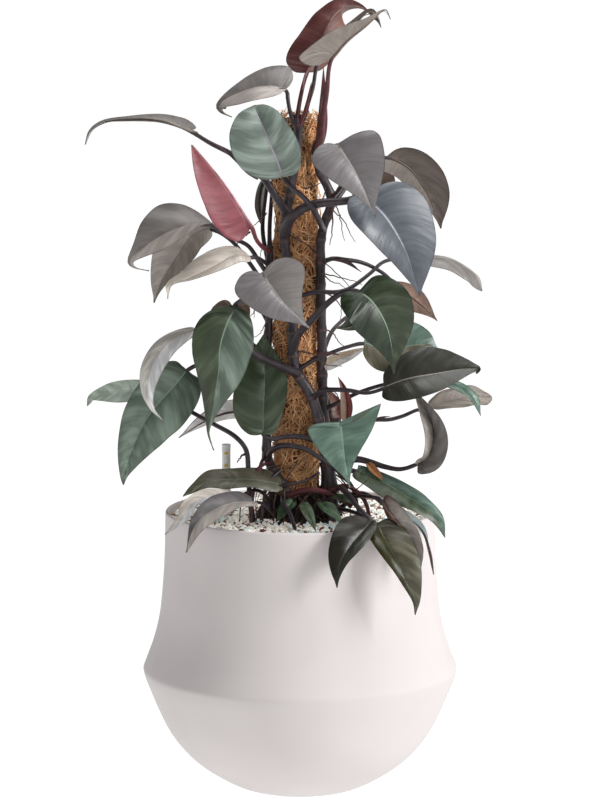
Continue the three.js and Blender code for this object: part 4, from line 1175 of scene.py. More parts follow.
@dataclass(frozen=True)
class CoirFinish:
    """Coconut coir: dry orange-brown hairs, each a little lighter or darker than the next."""

    flecks: float = 90.0
    fleck_values: Span = (0.7, 1.2)
    # Painted shade: the dark between the mat's hairs stands for the shaded depths of the coir.
    shaded_gap: str = "#3a2010"
    hair: str = "#9a6236"
    hair_turn: Point = (0.5, 0.4, 0.3)
    hair_scale: Point = (900, 900, 130)
    roughness: float = 0.72
    mat_roughness: float = 0.85

    def material(self) -> Material:
        """Makes the fibres' material, which takes its colour from each fibre's own tone."""
        coir = Recipe("coir_fibre")
        fleck = coir.remap(coir.noise(self.flecks, 3.0), MOST, self.fleck_values)
        return coir.finish(coir.adjust(coir.attribute("tone"), fleck), Roughness=self.roughness)

    def mat(self) -> Material:
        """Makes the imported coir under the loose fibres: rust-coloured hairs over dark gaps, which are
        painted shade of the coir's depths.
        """
        coir = Recipe("coir_mat")
        inputs = {"Vector": coir.place, "Rotation": self.hair_turn, "Scale": self.hair_scale}
        hair = coir.noise(1.0, 3.0, coir.add("Mapping", inputs).outputs[0])
        coir.bump(hair, 0.9, 0.002)
        color = coir.blend(coir.remap(hair, (0.4, 0.68)), self.shaded_gap, self.hair)
        return coir.finish(color, Roughness=self.mat_roughness)


@dataclass(frozen=True)
class WoodFinish:
    """Rough-sawn pine stake: straw-brown, with darker grain along its length."""

    light: str = "#a9814f"
    dark: str = "#7a5630"
    grain_mm: float = 2.5
    grain_run: float = 20
    roughness: float = 0.7

    def material(self) -> Material:
        """Makes the stake's material."""
        pine = Recipe("sawn_pine")
        scale = per_metre(self.grain_mm)
        inputs = {"Vector": pine.place, "Scale": (scale, scale, scale / self.grain_run)}
        grain = pine.noise(1.0, 3.0, pine.add("Mapping", inputs).outputs[0])
        return pine.finish(pine.blend(grain, self.dark, self.light), Roughness=self.roughness)


@dataclass(frozen=True)
class PlasticFinish:
    """Moulded polystyrene: smooth, satin and evenly coloured, with a trace of mould flow."""

    name: str
    color: str
    flow: float = 60.0
    flow_values: Span = (0.95, 1.03)
    roughness: float = 0.35
    clearness: float = 0.0

    def material(self) -> Material:
        """Makes the plastic's material."""
        plastic = Recipe(self.name)
        flow = plastic.remap(plastic.noise(self.flow, 2.0), WIDE, self.flow_values)
        color = plastic.adjust(self.color, flow)
        return plastic.finish(
            color, Roughness=self.roughness, IOR=PLASTIC_IOR, Transmission_Weight=self.clearness
        )


@dataclass
class Planter:
    """The white pot: a bowl that swells to a soft ridge and narrows to a straight collar."""

    foot_radius: float = 60
    rim_radius: float = 171
    rim_height: float = 359
    wall: float = 5
    floor_height: float = 9
    floor_step: float = 9
    floor_radii: Span = (96, 74)
    corner_height: float = 23
    foot_bevel: float = 2
    turns: int = 160
    bowl: Section = (
        (60, 0), (84, 7), (110, 21), (134, 38), (153, 57), (168, 78), (180, 102), (190, 126),
        (196.4, 142), (199.2, 151),
    )
    ridge: Section = ((200, 154.5), (200.1, 157))
    collar: Section = (
        (199.2, 159.5), (195.6, 169), (186, 196), (179, 226), (175, 262), (172.4, 300), (171, 357),
    )

    def profile(self) -> Array:
        """Draws the wall's section, from the axis under the foot round to the axis on the floor.

        Returns:
            Points of radius and height in millimetres.
        """
        bowl, collar = smooth_section(self.bowl, 5), smooth_section(self.collar, 5)
        ridge = np.array(self.ridge)
        turn = np.linspace(0, math.pi, 9)
        middle = self.rim_radius - self.wall / 2
        half = self.wall / 2
        lip = np.stack([middle + half * np.cos(turn), self.rim_height - half + half * np.sin(turn)], -1)
        inside = np.vstack([collar[::-1], ridge[::-1], bowl[::-1]]) - (self.wall, 0)
        inside = inside[inside[:, 1] > self.corner_height]
        foot = np.array([(0, 0), (self.foot_radius - self.foot_bevel, 0)])
        outer, inner = self.floor_radii
        low = self.floor_height
        floor = np.array([(outer, low + self.floor_step), (inner, low), (0, low)])
        return np.vstack([foot, bowl, ridge, collar[:-1], lip, inside[1:], floor])

    def build(self, finish: PotFinish) -> None:
        """Spins the section into the pot and lacquers it."""
        section = self.profile()
        rest_selection()
        bpy.ops.mesh.primitive_circle_add(vertices=len(section), radius=1, fill_type="NOTHING")
        pot = bpy.context.object
        pot.name = "planter"
        put_points(pot, np.stack([section[:, 0], np.zeros(len(section)), section[:, 1]], -1))
        bpy.ops.object.mode_set(mode="EDIT")
        bpy.ops.mesh.select_mode(type="EDGE")
        bpy.ops.mesh.select_all(action="DESELECT")
        bpy.ops.object.mode_set(mode="OBJECT")
        for edge in pot.data.edges:
            edge.select = set(edge.vertices) == {0, len(section) - 1}
        bpy.ops.object.mode_set(mode="EDIT")
        bpy.ops.mesh.delete(type="EDGE")
        bpy.ops.mesh.select_mode(type="VERT")
        bpy.ops.mesh.select_all(action="SELECT")
        bpy.ops.mesh.spin(
            steps=self.turns, angle=math.tau, center=(0, 0, 0), axis=(0, 0, 1), use_auto_merge=True
        )
        bpy.ops.object.mode_set(mode="OBJECT")
        merge_doubles(pot)
        dress(pot, 35, finish.material())
        keep(pot, "pot_white", "pot")


@dataclass
class Filling:
    """The mineral filling: a bed with thousands of loose grains on top of it."""

    grains: int = 4600
    inner_radius: float = 48
    outer_radius: float = 164.5
    top_height: float = 347
    grain_sizes: Span = (2.2, 3.8)
    lifts: Span = (-0.4, 1.6)
    tip: float = 0.7
    shades: Span = (0.9, 1.04)
    corner_reach: Span = (0.68, 1.15)
    flatness: Span = (0.6, 0.85)
    wall_gap: float = 2.6
    heap: float = 5.0
    heap_width: float = 9
    moulds: int = 10
    tones: tuple[tuple[str, float], ...] = (
        ("#fbf6ee", 0.3), ("#f3ebdf", 0.24), ("#fffdf8", 0.2), ("#c8eaee", 0.12),
        ("#c4b39c", 0.08), ("#5e2f30", 0.11), ("#7a665c", 0.08),
    )

    def mould_grain(self, index: int) -> tuple[Array, Array]:
        """Models one angular grain and takes its points and faces.

        Args:
            index: which of the grains it is, for its own shape.

        Returns:
            Points on a scale of one, and triangles.
        """
        draw = random.Random(700 + index)
        rest_selection()
        bpy.ops.mesh.primitive_ico_sphere_add(subdivisions=1, radius=1)
        grain = bpy.context.object
        for vertex in grain.data.vertices:
            vertex.co *= draw.uniform(*self.corner_reach)
            vertex.co.z *= draw.uniform(*self.flatness)
        points = np.array([vertex.co[:] for vertex in grain.data.vertices])
        faces = np.array([face.vertices[:] for face in grain.data.polygons])
        bpy.data.objects.remove(grain)
        return points, faces

    def build(self, finish: GravelFinish, bed: Piece) -> None:
        """Scatters the grains over the bed and gives the bed its own material."""
        draw = np.random.default_rng(41)
        moulds = [self.mould_grain(index) for index in range(self.moulds)]
        tones = np.array([linear(code) for code, _ in self.tones])
        shares = np.array([share for _, share in self.tones])
        points, faces, colors = [], [], []
        reach = np.sqrt(draw.uniform(self.inner_radius**2, self.outer_radius**2, self.grains))
        turn = draw.uniform(0, math.tau, self.grains)
        lift = draw.uniform(*self.lifts, self.grains)
        sizes = draw.uniform(*self.grain_sizes, self.grains)
        picks = draw.choice(len(tones), self.grains, p=shares / shares.sum())
        for index in range(self.grains):
            shape, triangles = moulds[index % self.moulds]
            spin, tip = draw.uniform(0, math.tau), draw.uniform(-self.tip, self.tip)
            turn_z = np.array([(cos(spin), -sin(spin), 0), (sin(spin), cos(spin), 0), (0, 0, 1)])
            turn_x = np.array([(1, 0, 0), (0, cos(tip), -sin(tip)), (0, sin(tip), cos(tip))])
            size = min(sizes[index], self.outer_radius - reach[index] + self.wall_gap)
            height = self.top_height + lift[index] + self.mound(reach[index])
            centre = (reach[index] * cos(turn[index]), reach[index] * sin(turn[index]), height)
            faces.append(triangles + len(shape) * index)
            points.append(shape @ turn_x.T @ turn_z.T * size + centre)
            shade = draw.uniform(*self.shades)
            colors.append(np.tile(tones[picks[index]] * (shade, shade, shade, 1), (len(shape), 1)))
        mesh = bpy.data.meshes.new("gravel_grains")
        mesh.from_pydata((np.vstack(points) * MM).tolist(), [], np.vstack(faces).tolist())
        piece = add_object("gravel_grains", mesh)
        paint_points(piece, "tone", np.vstack(colors))
        wear(piece, finish.material())
        keep(piece, "gravel")
        wear(bed, finish.bed())

    def mound(self, reach: float) -> float:
        """Gives how far the grains are heaped against the root ball."""
        return self.heap * math.exp(-(((reach - self.inner_radius) / self.heap_width) ** 2))


@dataclass
class RootBall:
    """The mound of black peat and old roots that the plant and its pole grow out of."""

    radius: float = 58
    section: Section = (
        (0, 190), (30, 190), (46.4, 190), (50, 230), (54, 280), (57.4, 330), (57, 345), (50, 358), (41, 372),
        (30, 382), (18, 386), (0, 386),
    )
    turns: int = 72
    roughness: float = 3.4
    crumb_mm: float = 11
    lump_mm: float = 26
    centre_height: float = 340
    smooth_below: float = 335
    roots: int = 74
    root_start: float = 20
    root_bed: Section = ((18, 389), (30, 384), (41, 373), (50, 359), (57, 349), (72, 347))

    def build(self, finish: PeatFinish, roots: RootFinish) -> None:
        """Makes the mound and lays coarse roots over it."""
        line = smooth_section(self.section, 6)
        mound, row, angle = rolled("peat_mound", self.turns, len(line) - 1)
        points = upright(line[row, 0], angle, line[row, 1])
        crumbs = np.array([noise.noise(Vector(point / self.crumb_mm)) for point in points])
        lumps = np.array([noise.noise(Vector(point / self.lump_mm + 7)) for point in points])
        exposed = np.clip((points[:, 2] - self.smooth_below) / 14, 0, 1)
        swell = self.roughness * (crumbs * 0.9 + lumps) * exposed
        out = points - (0, 0, self.centre_height)
        put_points(mound, points + unit(out) * swell[:, None])
        merge_doubles(mound)
        dress(mound, 60, finish.material())
        keep(mound, "peat", "root_ball")
        self.lay_roots(roots)

    def lay_roots(self, roots: RootFinish) -> None:
        """Winds coarse roots over the mound, from the stems' feet down into the filling."""
        draw = np.random.default_rng(12)
        lines, radii = [], []
        start = self.root_start
        for _ in range(self.roots):
            turn = draw.uniform(0, math.tau)
            drift = draw.uniform(-1.3, 1.3)
            steps = np.linspace(0, 1, 14)
            reach = start + (self.radius + draw.uniform(-4, 12) - start) * steps
            height = np.interp(reach, *zip(*self.root_bed))
            hump = draw.uniform(1, 8) * np.sin(math.pi * steps) ** 2
            angle = turn + drift * steps + 0.16 * np.sin(steps * draw.uniform(5, 11) + turn)
            lines.append(upright(reach, angle, height + hump))
            radii.append(draw.uniform(0.6, 1.7) * (1 - 0.55 * steps))
        piece = strands("mound_roots", lines, radii)
        dress(piece, 80, roots.material())
        keep(piece, "peat")


@dataclass
class CoirPole:
    """The climbing pole: a stake wrapped in packed coir, with loose fibres standing off it."""

    centre: Span = (-5, 0)
    radius: float = 25
    foot_height: float = 150
    top_height: float = 862
    rows: int = 150
    turns: int = 48
    top_dip: float = 3
    visible_foot: float = 340
    fibres: int = 3000
    loose: int = 620
    points: int = 6
    tones: tuple[str, str] = ("#f6c896", "#b0703f")

    def side(self, angle: Array, height: Array) -> Array:
        """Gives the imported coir's uneven radius at an angle and height."""
        slow = 1.5 * np.sin(angle * 2 + height / 31) + 1.3 * np.sin(angle + height / 17 + 2)
        return self.radius + slow + 0.9 * np.sin(3 * angle - height / 9)

    def build(self, finish: CoirFinish, wood: WoodFinish, stake: Piece) -> None:
        """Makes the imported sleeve, its woven surface of fibres and the loose hairs."""
        rows = self.rows
        sleeve, row, angle = rolled("coir_core", self.turns, rows)
        height = self.foot_height + (self.top_height - self.top_dip - self.foot_height) * row / rows
        reach = self.side(angle, height) * np.where((row == 0) | (row == rows), 0, 1)
        reach = reach * np.where(row >= rows - 1, 0.86, 1)
        put_points(sleeve, upright(reach, angle, height, self.centre))
        merge_doubles(sleeve)
        dress(sleeve, 60, finish.mat())
        keep(sleeve, "coir", "coir_sleeve")
        self.weave(finish)
        wear(stake, wood.material())

    def weave(self, finish: CoirFinish) -> None:
        """Lays fibres over the sleeve in every direction and lets some stand off it."""
        draw = np.random.default_rng(5)
        light, dark = (np.array(linear(code)) for code in self.tones)
        steps = np.linspace(-0.5, 0.5, self.points)
        for name, count, stand, lengths in (
            ("coir_fibres", self.fibres, (0.4, 3.2), (22, 62)),
            ("coir_hairs", self.loose, (2.5, 8), (18, 46)),
        ):
            lines, radii, tones = [], [], []
            for _ in range(count):
                lean = draw.normal(0, 0.9)
                length = draw.uniform(*lengths)
                middle = draw.uniform(self.visible_foot, self.top_height - 4)
                angle = draw.uniform(0, math.tau) + steps * length * sin(lean) / self.radius
                angle = angle + draw.uniform(-0.12, 0.12) * np.sin(steps * 9)
                height = middle + steps * length * cos(lean) + draw.uniform(-2, 2) * np.sin(steps * 8)
                over = np.clip(height - self.top_height, 0, None)
                height = height - over * 0.72
                bulge = draw.uniform(*stand) * np.sin((steps + 0.5) * math.pi) + draw.uniform(0.1, 0.9)
                reach = self.side(angle, height) + bulge - over * 0.2
                lines.append(upright(reach, angle, height, self.centre))
                thick = draw.uniform(0.3, 0.85)
                radii.append(thick * np.array([0.5] + [1.0] * (self.points - 2) + [0.4]))
                share = draw.uniform(0, 1) ** 1.1
                tones.append(light * (1 - share) + dark * share)
            piece = strands(name, lines, radii)
            each = len(piece.data.vertices) // count
            paint_points(piece, "tone", np.repeat(tones, each, axis=0))
            wear(piece, finish.material())
            keep(piece, "coir")


@dataclass
class WaterGauge:
    """The white water gauge that stands in the filling behind the leaves, with two level marks."""

    x: float = -94
    y: float = 22
    radius: float = 5.4
    foot_height: float = 120
    top_height: float = 440
    cap_height: float = 7.6
    cap_bevel: float = 0.4
    mark_heights: Span = (429, 413)
    mark_size: Point = (4.6, 0.7, 3.2)
    tube_color: str = "#f6f6f4"
    tube_clearness: float = 0.25
    mark_color: str = "#ecc83c"

    def build(self) -> None:
        """Makes the tube with its cap, and the marks on its front."""
        top, cap, bevel = self.top_height, self.top_height - self.cap_height, self.cap_bevel
        heights = np.array([self.foot_height, 260, 400, cap, cap + bevel, cap + 2 * bevel, top - bevel, top])
        radii = self.radius * np.array([1, 1, 1, 1, 1.03, 1.05, 1.05, 1.0])
        line = np.stack([np.full(8, self.x), np.full(8, self.y), heights], -1)
        body = tube("gauge_tube", line, radii, 40)
        shade_smooth(body, 30)
        clear = PlasticFinish("gauge_polystyrene", self.tube_color, clearness=self.tube_clearness)
        wear(body, clear.material())
        keep(body, "gauge_plastic", "water_gauge")
        marks = []
        for height in self.mark_heights:
            rest_selection()
            bpy.ops.mesh.primitive_cube_add(size=1)
            mark = bpy.context.object
            bpy.ops.object.mode_set(mode="EDIT")
            bpy.ops.mesh.bevel(offset=0.12, segments=2, affect="EDGES")
            bpy.ops.object.mode_set(mode="OBJECT")
            points = np.array([vertex.co[:] for vertex in mark.data.vertices]) * self.mark_size
            put_points(mark, points + (self.x, self.y - self.radius, height))
            marks.append(mark)
        piece = join("gauge_marks", marks)
        wear(piece, PlasticFinish("yellow_polystyrene", self.mark_color).material())
        keep(piece, "gauge_plastic")


@dataclass(frozen=True)
class Stem:
    """One climbing stem, from the root ball up its way, with the radii of its two ends."""

    name: str
    radii: Span
    way: Way


STEMS: tuple[Stem, ...] = (
    Stem(
        "stem_front", (7.2, 5.4),
        ((40, -36, 352), (41, -39, 385), (37, -39, 418), (30, -37, 450), (22, -34, 486), (13, -33.5, 512),
         (-3, -33.5, 538), (-9, -33.5, 565), (-9, -33.5, 604), (-13, -33.5, 660), (-20, -34, 712),
         (-17, -33.5, 734), (-12, -34, 766), (-6, -34, 805), (-2, -34, 838), (-4, -33.5, 862)),
    ),
    Stem(
        "stem_right", (6.6, 5.4),
        ((32, -2, 352), (33, -4, 400), (31, -8, 460), (29, -10, 500), (28, -12, 540), (27, -15, 600),
         (26, -20, 645), (26, -23, 680), (26, -25, 704), (30, -25, 724), (36, -24, 740), (39, -22, 757),
         (33, -23, 774), (25, -26, 790), (20, -27, 816), (22, -30, 828)),
    ),
    Stem(
        "stem_left", (6.4, 4.6),
        ((-14, -34, 362), (-18, -36, 388), (-25, -34, 402), (-35, -28, 416), (-41, -22, 432),
         (-42, -18, 462), (-42, -14, 500), (-41, -12, 545), (-40, -12, 585), (-38, -15, 620),
         (-38, -18, 655), (-38, -20, 680), (-38, -19, 697)),
    ),
)


@dataclass
class Stems:
    """The three climbing stems, ringed where old leaves have dropped."""

    ring_spacing: float = 29
    ring_shift: float = 7
    ring_width: float = 3.2
    ring_swell: float = 0.13
    waist: float = 0.03
    step: float = 2.2
    sides: int = 20

    def build(self, finish: StemFinish) -> None:
        """Makes every stem with its rings and slight bends."""
        skin = finish.material()
        for index, stem in enumerate(STEMS):
            way = Route(stem.way)
            steps = int(way.length / self.step)
            share = np.linspace(0, 1, steps)
            run = share * way.length + self.ring_shift * index
            near = (run % self.ring_spacing) - self.ring_spacing / 2
            ring = np.exp(-((near / self.ring_width) ** 2))
            radii = stem.radii[0] + (stem.radii[1] - stem.radii[0]) * share
            narrow = self.waist * np.cos(run / self.ring_spacing * math.tau)
            radii = radii * (1 + self.ring_swell * ring - narrow)
            piece = tube(f"{stem.name}_skin", way.at(share), radii, self.sides)
            along = run_of(piece)
            mark = np.interp(along, np.linspace(0, 1, steps + 2), np.concatenate([[0], ring, [0]]))
            mark = np.clip((mark - 0.72) * 2.2, 0, 0.6)
            paint_points(piece, "ring", np.stack([mark, mark, mark, np.ones_like(mark)], -1))
            dress(piece, 70, skin)
            keep(piece, "stem", stem.name)


# Beyond a half's widest place: shares of the way on to the tip, how far out the margin is there, and
# how far back the vein that ends there leaves the midrib.
TIP_MARGIN: Way = ((0.28, 0.85, 0.145), (0.53, 0.58, 0.13), (0.75, 0.29, 0.09), (0.89, 0.11, 0.05))


@dataclass
class Foliage:
    """All the leaves: each blade grows from its midrib, and its stalk runs on under it to the tip."""

    columns: int = 26
    rows: int = 60
    bend: float = 1.6
    thickness: float = 0.8
    stalk_sides: int = 12
    stalk_step: float = 4.0
    rib_steps: int = 26
    streaked_slot: str = "leaf_green"
    faint_streaks: float = 0.55
    base_strength: float = 0.9
    dry_tip: str = "#3a2f26"
    tip_strength: float = 0.7
    rib_share: float = 0.6

    def __post_init__(self) -> None:
        """Makes the skins that all leaves share."""
        self.skins = (
            BladeFinish(BladeSide.UPPER).material(),
            BladeFinish(BladeSide.UNDER, roughness=0.46, lift=0.0006).material(),
            StalkFinish().material(),
        )

    def margin(self, half: Half, row: Array) -> Array:
        """Follows a half's margin from the notch to the tip.

        Args:
            half: the half.
            row: how far round the margin, from 0 to 1.

        Returns:
            For each row: how far along the blade the margin is, how far out as a share of the half's
            width, and how far along the midrib the vein that ends there leaves it.
        """
        back, widest, rest = -half.lobe, half.widest, 1 - half.widest
        vein = widest - 0.12 if widest > 0.24 else widest * 0.5
        rows = [
            (back * 0.2, 0.06, 0.0),
            (back * 0.8, 0.22, 0.004),
            (back, 0.5, 0.012),
            (back + (widest - back) * 0.22, 0.78, 0.03),
            (back + (widest - back) * 0.58, 0.96, 0.08),
            (widest, 1.0, vein),
        ]
        for part, out, lag in TIP_MARGIN:
            along = widest + rest * part
            rows.append((along, out ** (1 / half.full), along - lag))
        rows.append((1.0, 0.02, 1.0))
        drawn = smooth_line(rows)
        drawn[:, 0] += half.sweep * drawn[:, 1]
        at = np.linspace(0, 1, len(drawn))
        return np.stack([np.interp(row, at, drawn[:, column]) for column in range(3)], -1)

    def face(self, leaf: Leaf, heading: Array, share: Array) -> Array:
        """Gives the direction that a blade's upper side looks, square to its midrib."""
        first = unit(np.array(leaf.face, float))
        last = unit(np.array(leaf.face_tip or leaf.face, float))
        looks = first + (last - first) * share[..., None]
        return unit(looks - (looks * heading).sum(-1, keepdims=True) * heading)

    def blade(self, leaf: Leaf, index: int) -> Piece:
        """Shapes a grid into a leaf's blade and colours both of its sides."""
        piece, u, row = grid(f"{leaf.name}_leaf", self.columns, self.rows)
        across = 2 * u - 1
        a = np.abs(across)
        right_half = leaf.right or leaf.left
        right, left = self.margin(right_half, row), self.margin(leaf.left, row)
        vein = (right[:, 2] + left[:, 2]) / 2
        side = np.where((across > 0)[:, None], left, right)
        along = vein + (side[:, 0] - vein) * a**self.bend
        share = np.clip(along, 0, 1)
        rib = Route(leaf.rib)
        heading = rib.heading(share)
        up = self.face(leaf, heading, share)
        width = np.where(across > 0, leaf.left.width, right_half.width)
        rise = np.radians(np.where(across > 0, leaf.left.rise, right_half.rise))
        reach = side[:, 1] * a * width
        lift = reach * np.sin(rise) + self.relief(leaf, index, across, row, side[:, 1])
        points = rib.at(share) + heading * (np.minimum(along, 0) * rib.length)[:, None]
        points = points + np.cross(heading, up) * (np.sign(across) * reach * np.cos(rise))[:, None]
        put_points(piece, points + up * lift[:, None])
        self.lay_veins(piece, index, u, row)
        self.paint(piece, leaf, across, row)
        wear(piece, *self.skins)
        activate(piece)
        solid = piece.modifiers.new("thickness", "SOLIDIFY")
        solid.thickness = self.thickness * MM
        solid.offset = 0
        solid.material_offset = 1
        bpy.ops.object.modifier_apply(modifier=solid.name)
        return piece

    def relief(
        self, leaf: Leaf, index: int, across: Array, row: Array, out: Array
    ) -> Array:
        """Adds up what lifts the blade off a plain sheet: its arch, ripples, wavy margin and midrib."""
        a = np.abs(across)
        draw = random.Random(90 + index)
        phase, drift = draw.uniform(0, math.tau), draw.uniform(0, math.tau)
        hump = 4 * a * (1 - a) * out
        beat = row * math.tau + 0.35 * np.sin(row * math.tau * 2.3 + drift)
        ripple = leaf.pleat * 0.45 * hump * np.sin(beat * 7 + phase + np.sign(across) * 0.9)
        slow = 1.5 * a * out * np.sin(row * math.tau * 1.4 + drift + across * 1.5)
        slow = slow + 0.9 * hump * np.sin(row * math.tau * 2.2 + phase)
        wave = leaf.wave * a**2 * out * np.sin(row * math.tau * 3.2 + phase + np.sign(across))
        groove = -0.7 * np.exp(-((a / 0.06) ** 2)) * (1 - row)
        return leaf.arch * hump + ripple + slow + wave + groove

    def lay_veins(self, piece: Piece, index: int, u: Array, row: Array) -> None:
        """Writes the UV map that the veins follow: across the blade, and from vein to vein."""
        layer = piece.data.uv_layers[0]
        layer.name = "vein"
        corners = np.zeros(len(piece.data.loops), np.int32)
        piece.data.loops.foreach_get("vertex_index", corners)
        spread = np.stack([2 * index + np.clip(u, 0.0005, 0.9995), row], -1)
        layer.data.foreach_set("uv", spread[corners].astype(np.float32).ravel())

    def paint(self, piece: Piece, leaf: Leaf, across: Array, row: Array) -> None:
        """Colours the two halves of both sides, their dark base and the midrib.

        Where the halves differ, the colour is mostly painted light and shade, and the dark base is partly
        painted shade.
        """
        # Painted light and shade: across the midrib the colour turns from the right half's to the left
        # half's.
        to_left = np.clip(across / 0.12 + 0.5, 0, 1)[:, None]
        at_base = np.clip((0.52 - row) / 0.3, 0, 1)[:, None] * self.base_strength
        at_tip = np.clip((row - 0.95) / 0.05, 0, 1)[:, None] * self.tip_strength
        clear = 1.0 if leaf.slot == self.streaked_slot else self.faint_streaks
        for name, pair in (("tint", leaf.paint.upper), ("belly", leaf.paint.under)):
            left, right = (np.array(linear(code)) for code in (pair[0], pair[-1]))
            color = right + (left - right) * to_left
            # Partly painted shade and partly the leaf's own deeper colour: the blade darkens towards the
            # notch.
            if leaf.dark_and_shaded_base:
                color = color + (np.array(linear(leaf.dark_and_shaded_base)) - color) * at_base
            color = color + (np.array(linear(self.dry_tip)) - color) * at_tip
            color[:, 3] = leaf.paint.streak * clear
            paint_points(piece, name, color)
        paint_points(piece, "rib_tint", np.tile(linear(leaf.paint.rib), (len(row), 1)))

    def stalk(self, leaf: Leaf) -> Piece:
        """Makes the stalk and the midrib that it becomes under the blade."""
        rib = Route(leaf.rib)
        share = np.linspace(0, 1, 8)
        up = self.face(leaf, rib.heading(share), share)
        start, end = leaf.radii
        depth = end * (0.85 - 0.7 * share) + 0.4
        below = rib.at(share) - up * depth[:, None]
        way = Route([*leaf.stalk, *below])
        notch = way.run[len(leaf.stalk) * CURVE_STEPS]
        bare_steps = max(8, int(notch / self.stalk_step))
        bare_part = np.linspace(0, notch, bare_steps, endpoint=False)
        stations = np.concatenate([bare_part, np.linspace(notch, way.length - 1.5, self.rib_steps)])
        on_rib = np.clip((stations - notch) / (way.length - notch), 0, 1)
        bare = np.clip(stations / notch, 0, 1)
        radii = start + (end - start) * bare
        radii = radii * (1 + 0.22 * np.exp(-((stations / 9) ** 2)))
        radii = radii * (1 + 0.16 * np.exp(-(((stations - notch + 5) / 7) ** 2)))
        tapered = end * (0.8 * (1 - on_rib) ** 0.9 + 0.2 * np.exp(-((on_rib / 0.06) ** 2))) + 0.15
        radii = np.where(on_rib > 0, tapered, radii)
        piece = tube(f"{leaf.name}_stalk", way.at(stations / way.length), radii, self.stalk_sides)
        on_rib = np.interp(run_of(piece), np.linspace(0, 1, len(stations) + 2), [0, *on_rib, 1])
        tone, rib_tone = np.array(linear(leaf.tone.value)), np.array(linear(leaf.paint.rib))
        rib_tone = rib_tone * self.rib_share + tone * (1 - self.rib_share)
        color = tone + (rib_tone - tone) * np.clip(on_rib * 6, 0, 1)[:, None]
        paint_points(piece, "belly", color)
        return piece

    def build(self, leaves: Sequence[Leaf]) -> None:
        """Grows every leaf as one piece."""
        for index, leaf in enumerate(leaves):
            blade, stalk = self.blade(leaf, index), self.stalk(leaf)
            wear(stalk, *self.skins)
            for face in stalk.data.polygons:
                face.material_index = 2
            piece = join(f"{leaf.name}_leaf", [blade, stalk])
            shade_smooth(piece, 60)
            keep(piece, leaf.slot, f"leaf_{leaf.name}")


def sheath(
    name: str, colors: Sequence[str], rib: Way, widths: Span, face: Point, rise: float = 50
) -> Leaf:
    """Describes a leaf sheath: a narrow folded blade without a stalk.

    Args:
        name: its name.
        colors: the upper side's left and right half, the under side's, and the midrib.
        rib: the way of its midrib in millimetres.
        widths: the widths of its left and its right half.
        face: the direction that its upper side looks.
        rise: how far its halves tilt up, in degrees.

    Returns:
        The sheath as a leaf.
    """
    left, right = (Half(width, rise, 0, 0.3, 1.2) for width in widths)
    paint = Paint(tuple(colors[:2]), tuple(colors[2:4]), colors[4], 0.3)
    return Leaf(name, "leaf_red", paint, (), rib, left, face, right, arch=1)


BROWN_SHEATH = ("#4a3436", "#4a3436", "#4a3436", "#4a3436", "#5a4446")
DARK_SHEATH = ("#4a3032", "#4a3032", "#4a3032", "#4a3032", "#5a4446")

SHEATHS: tuple[Leaf, ...] = (
    sheath(
        "crown_2_sheath", ("#5a1f24", "#46222a", "#6b3034", "#5a262a", "#7a3a3c"),
        ((21, -33, 815), (26, -41, 845), (28, -47, 880), (29, -51, 921)), (10, 9), (0.2, 0.9, 0.0),
    ),
    sheath(
        "crown_3_sheath", ("#7a2a30", "#6b2228", "#7a3a3c", "#7a3a3c", "#8a4448"),
        ((-2, -38, 842), (6, -42, 862), (11, -42, 882), (14, -43, 902)), (5, 5), (-0.2, 0.9, 0.0), 55,
    ),
    sheath(
        "upper_left_3_sheath", BROWN_SHEATH,
        ((-52, -24, 782), (-76, -28, 806), (-94, -29, 818), (-110, -29, 827)), (5, 5), (-0.3, 0.4, -0.8),
    ),
    sheath(
        "right_1_sheath", BROWN_SHEATH,
        ((40, -24, 680), (54, -16, 676), (66, -10, 670), (77, -6, 663)), (4, 4), (0.2, 0.3, 0.9),
    ),
    sheath(
        "right_4_sheath", DARK_SHEATH,
        ((14, -42, 555), (26, -47, 561), (38, -48, 564), (49, -48, 563)), (5, 4), (0.1, 0.6, 0.7),
    ),
    sheath(
        "right_6_sheath", DARK_SHEATH,
        ((78, -2, 468), (92, -2, 473), (104, -1, 477), (114, 0, 479)), (4, 4), (0.0, 0.6, 0.7),
    ),
    Leaf(
        "dry_sheath", "leaf_bronze", Paint(("#b07a48", "#a86f3f"), ("#9a6438", "#9a6438"), "#b98a5a", 0.6),
        stalk=(), rib=((84, -62, 428), (92, -68, 420), (100, -72, 412), (108, -74, 404)),
        left=Half(6, 30, 0, 0.4), right=Half(5, 35, 0, 0.4), face=(0.2, -0.7, 0.6), arch=1,
    ),
)

SHOOT_WAYS: tuple[tuple[float, Way], ...] = (
    (3.6, ((-15, -50, 386), (6, -60, 394), (25, -64, 394), (44, -66, 388), (65, -66, 374))),
    (3.0, ((33, -58, 390), (56, -74, 402), (72, -82, 395), (82, -86, 382), (88, -86, 352))),
    (2.4, ((-60, -46, 402), (-56, -42, 414), (-46, -38, 423), (-36, -30, 424))),
    (2.2, ((-40, -20, 436), (-48, -34, 426), (-53, -44, 410), (-58, -52, 392), (-62, -56, 352))),
    (2.6, ((28, -30, 434), (40, -44, 427), (50, -52, 413), (65, -60, 399), (76, -66, 350))),
    (2.2, ((-24, -36, 416), (-35, -46, 407), (-43, -54, 393), (-48, -60, 356))),
    (2.0, ((-48, -38, 402), (-31, -52, 398), (-13, -56, 401), (8, -50, 405), (24, -42, 414))),
    (3.2, ((-21, -44, 380), (-20, -66, 376), (-12, -84, 368), (-6, -94, 350))),
)

